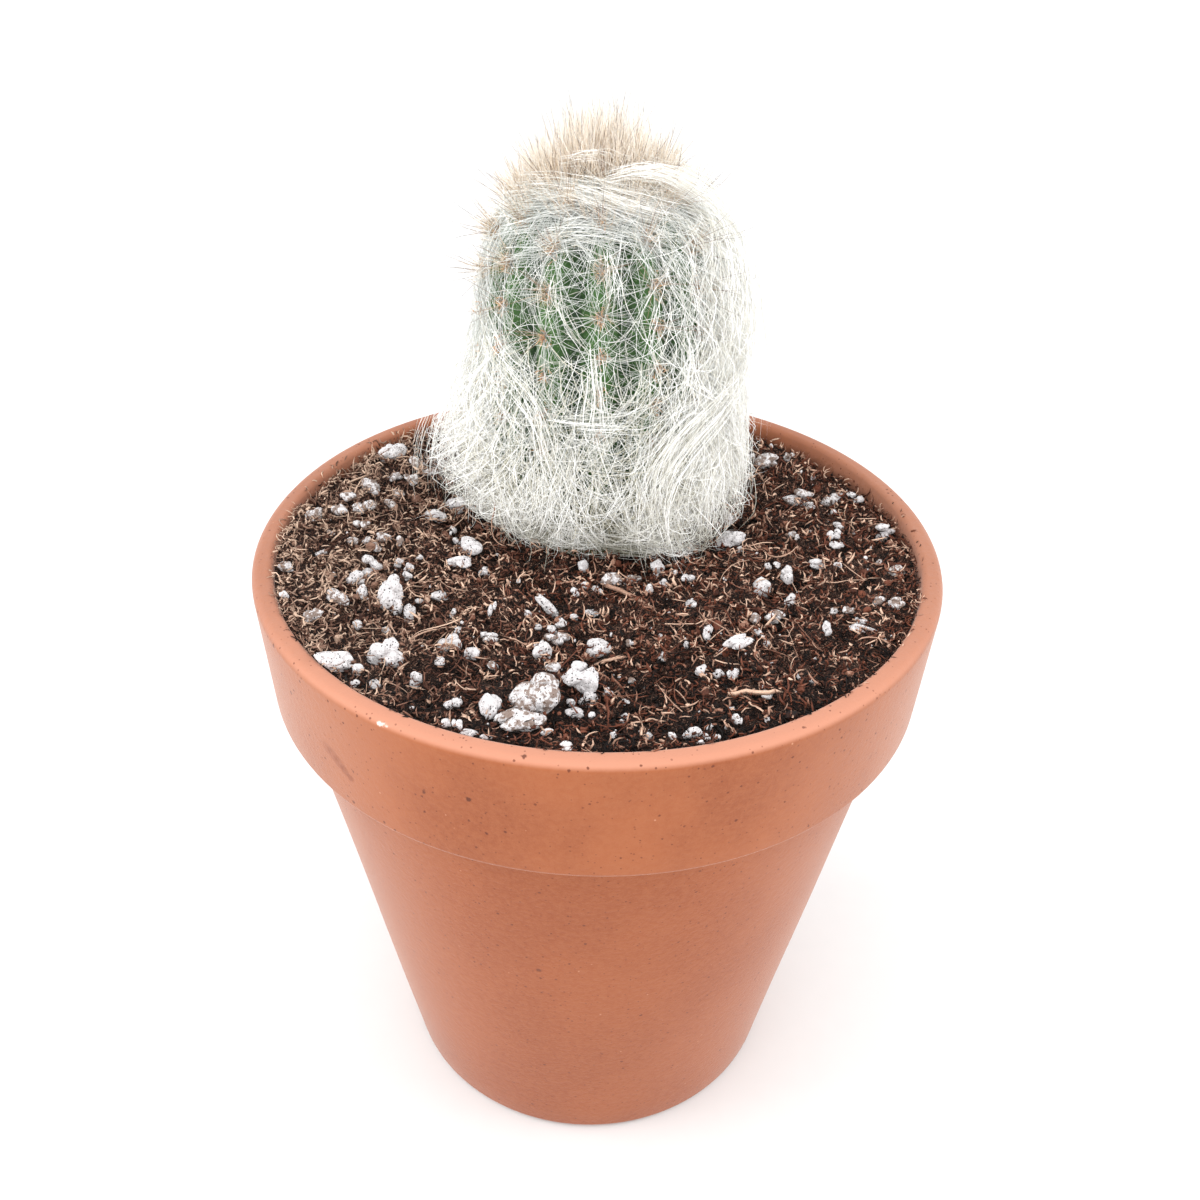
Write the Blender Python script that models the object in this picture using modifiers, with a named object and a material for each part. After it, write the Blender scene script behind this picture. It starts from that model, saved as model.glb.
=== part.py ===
"""Potted Peruvian old man cactus, 102 mm across the pot's rim and 158 mm tall.

A ribbed green stem with spines stands in a hole in the potting mix of a clay pot, and wears a coat of
white wool. +Z is up. The origin is at the centre of the pot's foot, on the surface that the pot stands on.
"""

import math
import random

import bmesh
import bpy
from mathutils import Matrix, Vector, noise
from mathutils.bvhtree import BVHTree

MM = 0.001
CLEARANCE = 0.3 * MM

# Clay pot
RIM_RADIUS = 51.0 * MM
POT_HEIGHT = 99.4 * MM
LIP_WIDTH = 3.0 * MM
BAND_HEIGHT = 20.0 * MM
BAND_FOOT_RADIUS = 49.7 * MM
WALL_TOP_RADIUS = 46.6 * MM
FOOT_RADIUS = 32.2 * MM
FLOOR_THICKNESS = 6.0 * MM
INNER_FLOOR_RADIUS = 27.5 * MM
DRAIN_RADIUS = 5.5 * MM
POT_SIDES = 64

# Potting mix
SOIL_DROP = 3.4 * MM
SOIL_WAVE = 1.5 * MM
SOIL_SIDES = 44
SOIL_RINGS = 9
SOIL_CHAMFER = 4.0 * MM
DIP_DEPTH = 1.4 * MM
DIP_START = 16.0 * MM
DIP_END = 32.0 * MM
EDGE_RISE = 1.3 * MM
EDGE_START = 28.0 * MM
LEFT_RISE = 0.8 * MM
HOLLOW_PLACE = Vector((7.0 * MM, -1.5 * MM, 0.0))
HOLLOW_DEPTH = 1.6 * MM
HOLLOW_REACH = 6.5 * MM
SMALL_GRAINS = 40
LARGE_GRAINS = 11
FIBRES = 8
FIBRE_RADIUS = 0.45 * MM

# Stem
STEM_CENTRE = Vector((-0.8 * MM, 20.0 * MM, 0.0))
STEM_RADIUS = 16.8 * MM
STEM_BASE_RADIUS = 15.0 * MM
BELLY_HEIGHT = 122.0 * MM
STEM_TOP = 147.6 * MM
SHOULDER_POWER = 2.8
BURIED_DEPTH = 9.0 * MM
BURIED_RADIUS = 10.0 * MM
RIBS = 13
RIB_STEP = 8
SIDES_PER_RIB = 4
RIB_DEPTH = 2.2 * MM
RIB_TURN = math.radians(-5.3)
AREOLE_PITCH = 5.9 * MM
FIRST_AREOLE = 1.6 * MM
CROWN_LEAVES = 26
SPINE_RADIUS = 0.32 * MM
SPINE_ROOT = 1.2 * MM

# Wool
WOOL_FOOT = 95.6 * MM
FLEECE_FOOT = 95.9 * MM
FLEECE_TOP = 120.0 * MM
FLEECE_INSIDE = 0.5 * MM
FLEECE_EDGE = 0.7 * MM
PLEATS = 22
PLEAT_DEPTH = 1.6 * MM
COAT_DEPTH = 2.0 * MM
SKIRT_DEPTH = 3.6 * MM
LEFT_FLARE = 4.2 * MM
RIGHT_SHEET = 4.0 * MM
LOCK_RADIUS = 0.5 * MM
SKIRT_LOCK_RADIUS = 0.8 * MM
FALLING_LOCKS = 22
SWEEPING_LOCKS = 9
SHOULDER_LOCKS = 3
SKIRT_ROWS = ((15, 25), (17, 17))

SOIL_LEVEL = POT_HEIGHT - SOIL_DROP
SEED = 13


def smooth_step(value):
    """0 below 0, 1 above 1, and a smooth rise between."""
    t = min(1.0, max(0.0, value))
    return t * t * (3 - 2 * t)


# Scene, materials and nodes


def clear_scene():
    for obj in list(bpy.data.objects):
        bpy.data.objects.remove(obj)


def new_collection(name):
    collection = bpy.data.collections.new(name)
    bpy.context.scene.collection.children.link(collection)
    return collection


def new_material(name, colour, roughness):
    material = bpy.data.materials.new(name)
    material.use_nodes = True
    shader = material.node_tree.nodes["Principled BSDF"]
    shader.inputs["Base Color"].default_value = (*colour, 1.0)
    shader.inputs["Roughness"].default_value = roughness
    shader.inputs["Metallic"].default_value = 0.0
    return material


def mesh_object(name, mesh, collection):
    obj = bpy.data.objects.new(name, mesh)
    collection.objects.link(obj)
    return obj


def apply_modifiers(obj):
    """The object keeps the mesh that its modifiers make, and loses the modifiers."""
    graph = bpy.context.evaluated_depsgraph_get()
    made = bpy.data.meshes.new_from_object(obj.evaluated_get(graph))
    obj.modifiers.clear()
    obj.data = made


def finish_node(obj, material, smooth_angle=40):
    obj.data.materials.clear()
    obj.data.materials.append(material)
    obj.data.shade_smooth()
    obj.data.set_sharp_from_angle(angle=math.radians(smooth_angle))


# Turned shapes


def rounded_corner(before, corner, after, radius, points=3):
    """Points of an arc that rounds a corner of a profile in the XZ plane."""
    into = (before - corner).normalized()
    out = (after - corner).normalized()
    half = into.angle(out) / 2
    reach = radius / math.tan(half)
    centre = corner + (into + out).normalized() * (radius / math.sin(half))
    start = corner + into * reach - centre
    end = corner + out * reach - centre
    return [centre + start.slerp(end, i / (points - 1)) * radius for i in range(points)]


def rounded_profile(corners, closed):
    """Corners are (radius from the axis, height, rounding). Those with no rounding stay sharp."""
    spots = [Vector((r, 0.0, z)) for r, z, _ in corners]
    made = []
    for i, (_, _, rounding) in enumerate(corners):
        at_an_end = not closed and i in (0, len(corners) - 1)
        if rounding == 0 or at_an_end:
            made.append(spots[i])
        else:
            made += rounded_corner(spots[i - 1], spots[i], spots[(i + 1) % len(spots)], rounding)
    return made


def turned(name, profile, sides, collection, closed=False):
    """A profile at +X that runs down its outer side, turned about Z."""
    mesh = bpy.data.meshes.new(name)
    edges = [(i, i + 1) for i in range(len(profile) - 1)]
    if closed:
        edges.append((len(profile) - 1, 0))
    mesh.from_pydata(profile, edges, [])
    obj = mesh_object(name, mesh, collection)
    screw = obj.modifiers.new("Turn", "SCREW")
    screw.steps = screw.render_steps = sides
    screw.use_merge_vertices = True
    screw.merge_threshold = 0.00001
    apply_modifiers(obj)
    return obj


# Joining repeats to what they grow from


def fuse(obj, repeats):
    """One union joins a collection of repeats to the object. Then the repeats are removed."""
    union = obj.modifiers.new("Fuse", "BOOLEAN")
    union.operation = "UNION"
    union.operand_type = "COLLECTION"
    union.collection = repeats
    union.solver = "MANIFOLD"
    apply_modifiers(obj)
    for repeat in list(repeats.objects):
        bpy.data.objects.remove(repeat)
    bpy.data.collections.remove(repeats)
    keep_largest_body(obj)


def keep_largest_body(obj):
    """Drops loose scraps that the union left beside the main body."""
    bm = bmesh.new()
    bm.from_mesh(obj.data)
    unseen = set(bm.faces)
    bodies = []
    while unseen:
        found = {unseen.pop()}
        to_search = list(found)
        while to_search:
            face = to_search.pop()
            beside = {other for edge in face.edges for other in edge.link_faces}
            to_search += beside & unseen
            found |= beside
            unseen -= beside
        bodies.append(found)
    bodies.sort(key=len)
    for scrap in bodies[:-1]:
        bmesh.ops.delete(bm, geom=list(scrap), context="FACES")
    bm.to_mesh(obj.data)
    bm.free()


def surface_tree(obj):
    graph = bpy.context.evaluated_depsgraph_get()
    return BVHTree.FromObject(obj, graph)


def clear_of(tree, points, distance):
    """True if every point is further than the distance from the surface in the tree."""
    return all(tree.find_nearest(point, distance)[0] is None for point in points)


def needle(name, root, tip, radius, collection):
    """A straight three-sided needle."""
    mesh = bpy.data.meshes.new(name)
    bm = bmesh.new()
    length = (tip - root).length
    bmesh.ops.create_cone(bm, cap_ends=True, segments=3, radius1=radius, radius2=0, depth=length)
    turn = (tip - root).to_track_quat("Z", "X").to_matrix().to_4x4()
    bmesh.ops.transform(bm, matrix=Matrix.Translation((root + tip) / 2) @ turn, verts=bm.verts)
    bm.to_mesh(mesh)
    bm.free()
    return mesh_object(name, mesh, collection)


def three_sided_section(collection):
    """The guide curve that gives a lock of wool or a fibre its three-sided section."""
    curve = bpy.data.curves.new("three_sided_section", "CURVE")
    spline = curve.splines.new("POLY")
    spline.points.add(2)
    for i, point in enumerate(spline.points):
        angle = math.radians(120 * i)
        point.co = (math.cos(angle), math.sin(angle), 0.0, 1.0)
    spline.use_cyclic_u = True
    section = bpy.data.objects.new("three_sided_section", curve)
    collection.objects.link(section)
    section.hide_render = True
    section.display_type = "WIRE"
    return section


def tapered_strand(name, path, radius, section, collection):
    """A curved three-sided strand that is thickest near its root and thin at its tip."""
    curve = bpy.data.curves.new(name, "CURVE")
    curve.dimensions = "3D"
    curve.bevel_mode = "OBJECT"
    curve.bevel_object = section
    curve.use_fill_caps = True
    spline = curve.splines.new("POLY")
    spline.points.add(len(path) - 1)
    for i, (point, place) in enumerate(zip(spline.points, path)):
        along = i / (len(path) - 1)
        point.co = (*place, 1.0)
        point.radius = radius * (1 - 0.75 * along**3)
    strand = bpy.data.objects.new(name, curve)
    collection.objects.link(strand)
    graph = bpy.context.evaluated_depsgraph_get()
    mesh = bpy.data.meshes.new_from_object(strand.evaluated_get(graph))
    bpy.data.objects.remove(strand)
    bm = bmesh.new()
    bm.from_mesh(mesh)
    bmesh.ops.remove_doubles(bm, verts=bm.verts, dist=0.00001)
    bmesh.ops.recalc_face_normals(bm, faces=bm.faces)
    bm.to_mesh(mesh)
    bm.free()
    return mesh_object(name, mesh, collection)


# Clay pot


def inner_radius(height):
    """Radius of the pot's inner wall."""
    rise = (height - FLOOR_THICKNESS) / (POT_HEIGHT - FLOOR_THICKNESS)
    return INNER_FLOOR_RADIUS + (RIM_RADIUS - LIP_WIDTH - INNER_FLOOR_RADIUS) * rise


def build_pot(collection):
    """A turned pot with a thick band round its top, a sloping wall and a drain hole."""
    band_foot = POT_HEIGHT - BAND_HEIGHT
    corners = [
        (RIM_RADIUS, POT_HEIGHT, 1.0 * MM),
        (BAND_FOOT_RADIUS, band_foot, 0.9 * MM),
        (WALL_TOP_RADIUS, band_foot - 0.4 * MM, 0.0),
        (FOOT_RADIUS, 0.0, 1.4 * MM),
        (DRAIN_RADIUS, 0.0, 0.0),
        (DRAIN_RADIUS, FLOOR_THICKNESS, 0.0),
        (INNER_FLOOR_RADIUS, FLOOR_THICKNESS, 0.0),
        (RIM_RADIUS - LIP_WIDTH, POT_HEIGHT, 0.7 * MM),
    ]
    profile = rounded_profile(corners, closed=True)
    return turned("pot", profile, POT_SIDES, collection, closed=True)


# Potting mix


def soil_height(x, y):
    """Height of the potting mix: soft waves, a dip round the stem, a hollow before it and a bank along the wall."""
    place = Vector((x, y, 0.0))
    wave = noise.noise(place / (17 * MM)) + 0.5 * noise.noise(Vector((x, y, 0.01)) / (7 * MM))
    dip = 1 - smooth_step(((place - STEM_CENTRE).length - DIP_START) / (DIP_END - DIP_START))
    settled = smooth_step((RIM_RADIUS - place.length) / (14 * MM))
    bank = EDGE_RISE * smooth_step((place.length - EDGE_START) / (RIM_RADIUS - LIP_WIDTH - EDGE_START))
    hollow = HOLLOW_DEPTH * math.exp(-(((place - HOLLOW_PLACE).length / HOLLOW_REACH) ** 2))
    height = SOIL_LEVEL + SOIL_WAVE * wave * settled * (1 - 0.8 * dip) - DIP_DEPTH * dip
    return height + (bank - LEFT_RISE * x / RIM_RADIUS) * (1 - dip) - hollow


def on_soil(x, y, lift=0.0):
    return Vector((x, y, soil_height(x, y) + lift))


def random_spot_on_soil(rng, margin):
    """A spot inside the pot's wall and outside the stem's hole."""
    reach = inner_radius(SOIL_LEVEL) - margin
    while True:
        x, y = rng.uniform(-reach, reach), rng.uniform(-reach, reach)
        from_stem = (Vector((x, y, 0.0)) - STEM_CENTRE).length
        if math.hypot(x, y) < reach and from_stem > STEM_RADIUS + margin:
            return x, y


def build_soil_body(collection):
    """The mix fills the pot. Its top is a net of rings that are lifted to the soil's height."""
    floor = FLOOR_THICKNESS + CLEARANCE
    chamfer_top = floor + SOIL_CHAMFER
    side_gap = CLEARANCE * 1.1
    edge = inner_radius(SOIL_LEVEL) - side_gap
    profile = [Vector((edge * i / SOIL_RINGS, 0.0, SOIL_LEVEL)) for i in range(SOIL_RINGS + 1)]
    profile.append(Vector((inner_radius(chamfer_top) - side_gap, 0.0, chamfer_top)))
    profile.append(Vector((INNER_FLOOR_RADIUS - SOIL_CHAMFER / 2, 0.0, floor)))
    profile.append(Vector((0.0, 0.0, floor)))
    soil = turned("soil", profile, SOIL_SIDES, collection)
    for vertex in soil.data.vertices:
        x, y, z = vertex.co
        if z > SOIL_LEVEL - CLEARANCE:
            vertex.co.z = soil_height(x, y)
    return soil


def cut_stem_hole(soil, helpers):
    """A plain hole, a little wider than the part of the stem that stands in it."""
    bottom = SOIL_LEVEL - BURIED_DEPTH - 2 * CLEARANCE
    reach = STEM_BASE_RADIUS + 2 * CLEARANCE
    corners = [
        (0.0, SOIL_LEVEL + 8 * MM, 0.0),
        (reach + 2 * MM, SOIL_LEVEL + 8 * MM, 0.0),
        (reach, SOIL_LEVEL - 2 * MM, 0.0),
        (BURIED_RADIUS + 2 * CLEARANCE, bottom, 0.0),
        (0.0, bottom, 0.0),
    ]
    cutter = turned("stem_hole", rounded_profile(corners, closed=False), SOIL_SIDES, helpers)
    cutter.location = STEM_CENTRE
    cutter.hide_render = True
    cutter.display_type = "WIRE"
    cut = soil.modifiers.new("Stem hole", "BOOLEAN")
    cut.operation = "DIFFERENCE"
    cut.object = cutter
    bpy.context.view_layer.update()
    apply_modifiers(soil)


def build_grain(name, rng, centre, size, detail, collection):
    """A lump of perlite: a ball pushed in and out at random, and longer one way."""
    mesh = bpy.data.meshes.new(name)
    bm = bmesh.new()
    bmesh.ops.create_icosphere(bm, subdivisions=detail, radius=size)
    for vert in bm.verts:
        vert.co *= rng.uniform(0.82, 1.12)
    stretch = Matrix.Diagonal((rng.uniform(1.0, 1.45), rng.uniform(0.8, 1.0), rng.uniform(0.7, 0.9), 1.0))
    turn = Matrix.Rotation(rng.uniform(0, math.tau), 4, "Z")
    bmesh.ops.transform(bm, matrix=Matrix.Translation(centre) @ turn @ stretch, verts=bm.verts)
    bm.to_mesh(mesh)
    bm.free()
    return mesh_object(name, mesh, collection)


def add_grains(repeats, rng, wool_tree):
    """Perlite grains lie half sunk in the mix, clear of the wool and of the pot's wall."""
    kinds = [(LARGE_GRAINS, (1.7, 3.0), 2), (SMALL_GRAINS, (0.7, 1.5), 1)]
    for count, (smallest, largest), detail in kinds:
        placed = 0
        while placed < count:
            size = rng.uniform(smallest, largest) * MM
            x, y = random_spot_on_soil(rng, 1.7 * size + 2 * CLEARANCE)
            centre = on_soil(x, y, lift=0.25 * size)
            if clear_of(wool_tree, [centre], 1.7 * size + CLEARANCE):
                build_grain("grain", rng, centre, size, detail, repeats)
                placed += 1


def add_fibres(repeats, rng, wool_tree, section):
    """Coir fibres lie along the surface, sunk to about half their thickness."""
    placed = 0
    while placed < FIBRES:
        length = rng.uniform(7, 16) * MM
        x, y = random_spot_on_soil(rng, 2 * MM)
        heading = rng.uniform(0, math.tau)
        bend = rng.uniform(-0.5, 0.5)
        path = []
        for i in range(5):
            x += math.cos(heading) * length / 4
            y += math.sin(heading) * length / 4
            heading += bend
            path.append(on_soil(x, y, lift=0.1 * MM))
        inside = all(math.hypot(p.x, p.y) < inner_radius(SOIL_LEVEL) - 1.5 * MM for p in path)
        off_stem = all((p - STEM_CENTRE).to_2d().length > STEM_RADIUS + 2 * MM for p in path)
        if inside and off_stem and clear_of(wool_tree, path, 2 * FIBRE_RADIUS + CLEARANCE):
            tapered_strand("fibre", path, FIBRE_RADIUS, section, repeats)
            placed += 1


def build_soil(collection, helpers, wool, section):
    soil = build_soil_body(collection)
    cut_stem_hole(soil, helpers)
    rng = random.Random(SEED)
    repeats = new_collection("grains_and_fibres")
    wool_tree = surface_tree(wool)
    add_grains(repeats, rng, wool_tree)
    add_fibres(repeats, rng, wool_tree, section)
    fuse(soil, repeats)
    return soil


# Stem


def crest_radius(height):
    """Radius of the stem over the crests of its ribs."""
    if height >= BELLY_HEIGHT:
        rise = min(1.0, (height - BELLY_HEIGHT) / (STEM_TOP - BELLY_HEIGHT))
        return STEM_RADIUS * (1 - rise**SHOULDER_POWER) ** (1 / SHOULDER_POWER)
    rise = max(0.0, (height - SOIL_LEVEL) / (BELLY_HEIGHT - SOIL_LEVEL))
    return STEM_BASE_RADIUS + (STEM_RADIUS - STEM_BASE_RADIUS) * math.sin(rise * math.pi / 2)


def dome_point(turn):
    """(radius, height) on the dome, from the apex at 0 to the belly at 1."""
    angle = math.pi / 2 * (1 - turn)
    across = max(0.0, math.cos(angle)) ** (2 / SHOULDER_POWER) if turn > 0 else 0.0
    up = math.sin(angle) ** (2 / SHOULDER_POWER)
    return STEM_RADIUS * across, BELLY_HEIGHT + (STEM_TOP - BELLY_HEIGHT) * up


def stem_profile():
    """The crest line from the apex down to the soil, then the buried foot of the stem."""
    dome_steps, body_steps = 8, 7
    line = [dome_point(i / dome_steps) for i in range(dome_steps)]
    for i in range(body_steps + 1):
        height = BELLY_HEIGHT + (SOIL_LEVEL - BELLY_HEIGHT) * i / body_steps
        line.append((crest_radius(height), height))
    line.append((STEM_BASE_RADIUS * 0.93, SOIL_LEVEL - 0.4 * BURIED_DEPTH))
    line.append((BURIED_RADIUS, SOIL_LEVEL - BURIED_DEPTH))
    line.append((0.0, SOIL_LEVEL - BURIED_DEPTH))
    return [Vector((radius, 0.0, height)) for radius, height in line]


def measured_dome(steps=240):
    """Points down the dome, each with the length walked from the apex."""
    walked = 0.0
    last = Vector(dome_point(0))
    found = [(walked, last)]
    for i in range(1, steps + 1):
        here = Vector(dome_point(i / steps))
        walked += (here - last).length
        found.append((walked, here))
        last = here
    return found


DOME = measured_dome()
DOME_LENGTH = DOME[-1][0]
STEM_LENGTH = DOME_LENGTH + BELLY_HEIGHT - WOOL_FOOT


def crest_point(down):
    """(radius, height, upward tilt of the surface) at a distance down the crest line from the apex."""
    if down >= DOME_LENGTH:
        height = BELLY_HEIGHT - (down - DOME_LENGTH)
        return crest_radius(height), height, 0.0
    after = next(i for i, (walked, _) in enumerate(DOME) if walked > down)
    walked, here = DOME[after - 1]
    along = (DOME[after][1] - here).normalized()
    spot = here + along * (down - walked)
    return spot.x, spot.y, math.atan2(along.x, -along.y)


def areoles():
    """Areoles in the order they grew, youngest first. Each is RIB_STEP ribs on from the last, in a spiral."""
    found = []
    leaf = 0
    while True:
        radius, height, tilt = crest_point(FIRST_AREOLE + AREOLE_PITCH / RIBS * leaf)
        if height < SOIL_LEVEL + 2 * MM:
            return found
        angle = math.tau * (leaf * RIB_STEP % RIBS) / RIBS + RIB_TURN
        outward = Vector((math.cos(angle), math.sin(angle), 0.0))
        place = STEM_CENTRE + outward * radius + Vector((0.0, 0.0, height))
        normal = outward * math.cos(tilt) + Vector((0.0, 0.0, math.sin(tilt)))
        found.append((leaf, place, normal))
        leaf += 1


def build_stem_body(collection):
    """A turned barrel whose surface is drawn in between the ribs by a formula."""
    stem = turned("stem", stem_profile(), RIBS * SIDES_PER_RIB, collection)
    for vertex in stem.data.vertices:
        x, y, z = vertex.co
        radius = math.hypot(x, y)
        if radius < CLEARANCE:
            continue
        off_crest = (1 - math.cos(RIBS * math.atan2(y, x))) / 2
        shown = smooth_step((z - SOIL_LEVEL) / (4 * MM))
        depth = RIB_DEPTH * shown * min(1.0, radius / (0.8 * STEM_RADIUS))
        shrink = 1 - depth * off_crest**2 / radius
        vertex.co.x *= shrink
        vertex.co.y *= shrink
    stem.data.transform(Matrix.Translation(STEM_CENTRE) @ Matrix.Rotation(RIB_TURN, 4, "Z"))
    return stem


def spine_directions(rng, leaf, normal):
    """Crown areoles carry a tuft that points up. Older ones carry spines that point out."""
    up = Vector((0.0, 0.0, 1.0))
    count = 3 if leaf < CROWN_LEAVES else 2
    for _ in range(count):
        stray = Vector((rng.uniform(-1, 1), rng.uniform(-1, 1), rng.uniform(-1, 1))) * 0.45
        if leaf < CROWN_LEAVES:
            share = leaf / CROWN_LEAVES
            yield (up * (1.5 - share) + normal * (0.35 + 0.5 * share) + stray * 0.5).normalized()
        else:
            yield (normal + stray).normalized()


def spine_length(rng, leaf):
    """Spines are longest in the middle of the crown."""
    if leaf < CROWN_LEAVES:
        return rng.uniform(7.5, 10.5) * MM * (1 - 0.35 * leaf / CROWN_LEAVES)
    return rng.uniform(4.0, 6.5) * MM


def add_spines(stem, wool):
    """A spine grows where the wool leaves it room."""
    rng = random.Random(SEED + 1)
    wool_tree = surface_tree(wool)
    repeats = new_collection("spines")
    for leaf, place, normal in areoles():
        for direction in spine_directions(rng, leaf, normal):
            length = spine_length(rng, leaf)
            root = place - direction * SPINE_ROOT
            tip = place + direction * length
            samples = [place + direction * length * i / 6 for i in range(7)]
            if clear_of(wool_tree, samples, SPINE_RADIUS + CLEARANCE):
                needle("spine", root, tip, SPINE_RADIUS, repeats)
    fuse(stem, repeats)


# Wool


def beside_stem(angle, down, gap):
    """A point off the crests. Angle 0 faces the front, -Y, and grows towards +X. Down starts at the apex."""
    radius, height, tilt = crest_point(down)
    radius += gap * math.cos(tilt)
    height += gap * math.sin(tilt)
    return STEM_CENTRE + Vector((radius * math.sin(angle), -radius * math.cos(angle), height))


def coat_depth(angle, down):
    """How far the wool stands off the crests: a full skirt, wider on the left, and a sheet on the right."""
    rise = (crest_point(down)[1] - WOOL_FOOT) / (STEM_TOP - WOOL_FOOT)
    left, right = max(0.0, -math.sin(angle)), max(0.0, math.sin(angle))
    depth = COAT_DEPTH + SKIRT_DEPTH * math.exp(-(((rise - 0.12) / 0.25) ** 2))
    depth += left * LEFT_FLARE * (1 - smooth_step((rise - 0.2) / 0.5))
    depth += right * (0.5 + 0.6 * math.exp(-(((rise - 0.55) / 0.28) ** 2))) * RIGHT_SHEET
    return depth


def net_point(angle, down, wobble):
    """A point in the net of hair over the upper stem, a little inside the coat's outer face."""
    gap = 0.6 * coat_depth(angle, down) + 0.15 * MM * math.sin(wobble)
    return beside_stem(angle, down, gap)


def fleece_gap(angle, rise):
    """Gap from the crests to the fleece's pleated outer face. Rise is 0 at its foot and 1 at its top edge."""
    height = FLEECE_FOOT + (FLEECE_TOP - FLEECE_FOOT) * rise
    full = 0.66 * coat_depth(angle, DOME_LENGTH + BELLY_HEIGHT - height)
    taper = smooth_step((1 - rise) / 0.5) * (0.45 + 0.55 * smooth_step(rise / 0.2))
    pleat = 0.5 + 0.5 * math.sin(PLEATS * angle + 2.4 * math.sin(3.5 * rise + 2 * angle))
    return FLEECE_INSIDE + FLEECE_EDGE + (full - 1.2 * MM + PLEAT_DEPTH * pleat) * taper


def build_fleece(collection):
    """The dense felt low down, which the locks stand out of: a sleeve with pleats and a ragged top edge."""
    outer_steps, inner_steps = 8, 4
    fleece_height = FLEECE_TOP - FLEECE_FOOT
    marker = 2 * MM
    profile = []
    for i in range(outer_steps + 1):
        height = FLEECE_TOP - fleece_height * i / outer_steps
        profile.append(Vector((crest_radius(height) + marker, 0.0, height)))
    for i in range(inner_steps + 1):
        height = FLEECE_FOOT + fleece_height * i / inner_steps
        profile.append(Vector((crest_radius(height) + FLEECE_INSIDE, 0.0, height)))
    fleece = turned("wool", profile, 3 * PLEATS, collection, closed=True)
    for vertex in fleece.data.vertices:
        x, y, height = vertex.co
        angle = math.atan2(x, -y)
        rise = (height - FLEECE_FOOT) / fleece_height
        is_outer = math.hypot(x, y) > crest_radius(height) + marker / 2
        ragged = 6 * MM * noise.noise(Vector((3 * math.sin(angle), 3 * math.cos(angle), 5.0)))
        height += ragged * rise
        radius = crest_radius(height) + (fleece_gap(angle, rise) if is_outer else FLEECE_INSIDE)
        vertex.co = (radius * math.sin(angle), -radius * math.cos(angle), height)
    fleece.data.transform(Matrix.Translation(STEM_CENTRE))
    return fleece


def falling_path(rng, angle):
    """Hair from high on the stem that hangs down over the crests into the fleece."""
    top = rng.uniform(11, 15) * MM
    foot = STEM_LENGTH - rng.uniform(15, 22) * MM
    drift = rng.uniform(-0.45, 0.45)
    steps = 5
    path = []
    for i in range(steps + 1):
        along = i / steps
        wave = 0.12 * math.sin(along * math.pi * 1.5 + angle * 3)
        path.append(net_point(angle + drift * along + wave, top + (foot - top) * along, i * 2.1))
    return path


def sweeping_path(start, reach, high, fall):
    """Hair combed sideways round the stem, which sinks as it goes."""
    steps = max(5, int(abs(reach) / math.radians(20)))
    path = []
    for i in range(steps + 1):
        along = i / steps
        down = high + fall * along**1.6 + 0.8 * MM * math.sin(along * 7 + start)
        path.append(net_point(start + reach * along, down, i * 1.7))
    return path


def skirt_path(rng, angle, top):
    """A lock that bulges out of the fleece and curls in again just above the soil."""
    drift = rng.uniform(-0.5, 0.5)
    foot = STEM_LENGTH - rng.uniform(0.3, 2.5) * MM
    steps = 4
    path = []
    for i in range(steps + 1):
        along = i / steps
        down = top + (foot - top) * along
        here = angle + drift * along
        swell = math.sin(math.pi * min(1.0, 0.12 + 0.72 * along))
        gap = 1.0 * MM + (coat_depth(here, down) - 1.5 * MM) * swell * rng.uniform(0.85, 1.0)
        path.append(beside_stem(here, down, gap))
    return path


def build_wool(collection, section):
    """Felt low down, locks that hang over it, and hair that runs down and round the upper stem."""
    rng = random.Random(SEED + 2)
    wool = build_fleece(collection)
    repeats = new_collection("locks")
    for i in range(FALLING_LOCKS):
        path = falling_path(rng, math.tau * i / FALLING_LOCKS)
        tapered_strand("lock", path, LOCK_RADIUS, section, repeats)
    for i in range(SWEEPING_LOCKS):
        start, reach = math.tau * i / SWEEPING_LOCKS, rng.uniform(1.4, 2.2)
        path = sweeping_path(start, reach, rng.uniform(11, 17) * MM, rng.uniform(4, 12) * MM)
        tapered_strand("lock", path, LOCK_RADIUS, section, repeats)
    for i in range(SHOULDER_LOCKS):
        path = sweeping_path(-0.9 + 0.12 * i, 2.5, (6 + 1.6 * i) * MM, 10 * MM)
        tapered_strand("lock", path, LOCK_RADIUS, section, repeats)
    for row, (count, above_soil) in enumerate(SKIRT_ROWS):
        for i in range(count):
            angle = math.tau * (i + 0.33 * row) / count + rng.uniform(-0.08, 0.08)
            top = STEM_LENGTH - (above_soil + rng.uniform(-2, 2)) * MM
            tapered_strand("lock", skirt_path(rng, angle, top), SKIRT_LOCK_RADIUS, section, repeats)
    fuse(wool, repeats)
    return wool


def main():
    clear_scene()
    parts = new_collection("potted_old_man_cactus")
    helpers = new_collection("cutters_and_guides")
    section = three_sided_section(helpers)
    clay = new_material("terracotta", (0.62, 0.24, 0.13), 0.85)
    earth = new_material("potting_mix", (0.10, 0.055, 0.035), 0.95)
    flesh = new_material("green_stem", (0.16, 0.28, 0.10), 0.6)
    hair = new_material("white_wool", (0.85, 0.84, 0.78), 0.9)

    pot = build_pot(parts)
    finish_node(pot, clay)
    wool = build_wool(parts, section)
    finish_node(wool, hair)
    stem = build_stem_body(parts)
    add_spines(stem, wool)
    finish_node(stem, flesh)
    soil = build_soil(parts, helpers, wool, section)
    finish_node(soil, earth, smooth_angle=25)


main()
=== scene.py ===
# %% [markdown]
# # A woolly column cactus in a clay pot
#
# The CAD model already holds the four pieces of the object at their real size: the pot, the potting mix, the
# ribbed stem and its coat of wool. This lesson keeps those sizes and gives each piece the surface that the
# real one has. First comes the frame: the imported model, loaded once, which every later step is built around.

# %% The frame
import math

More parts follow.
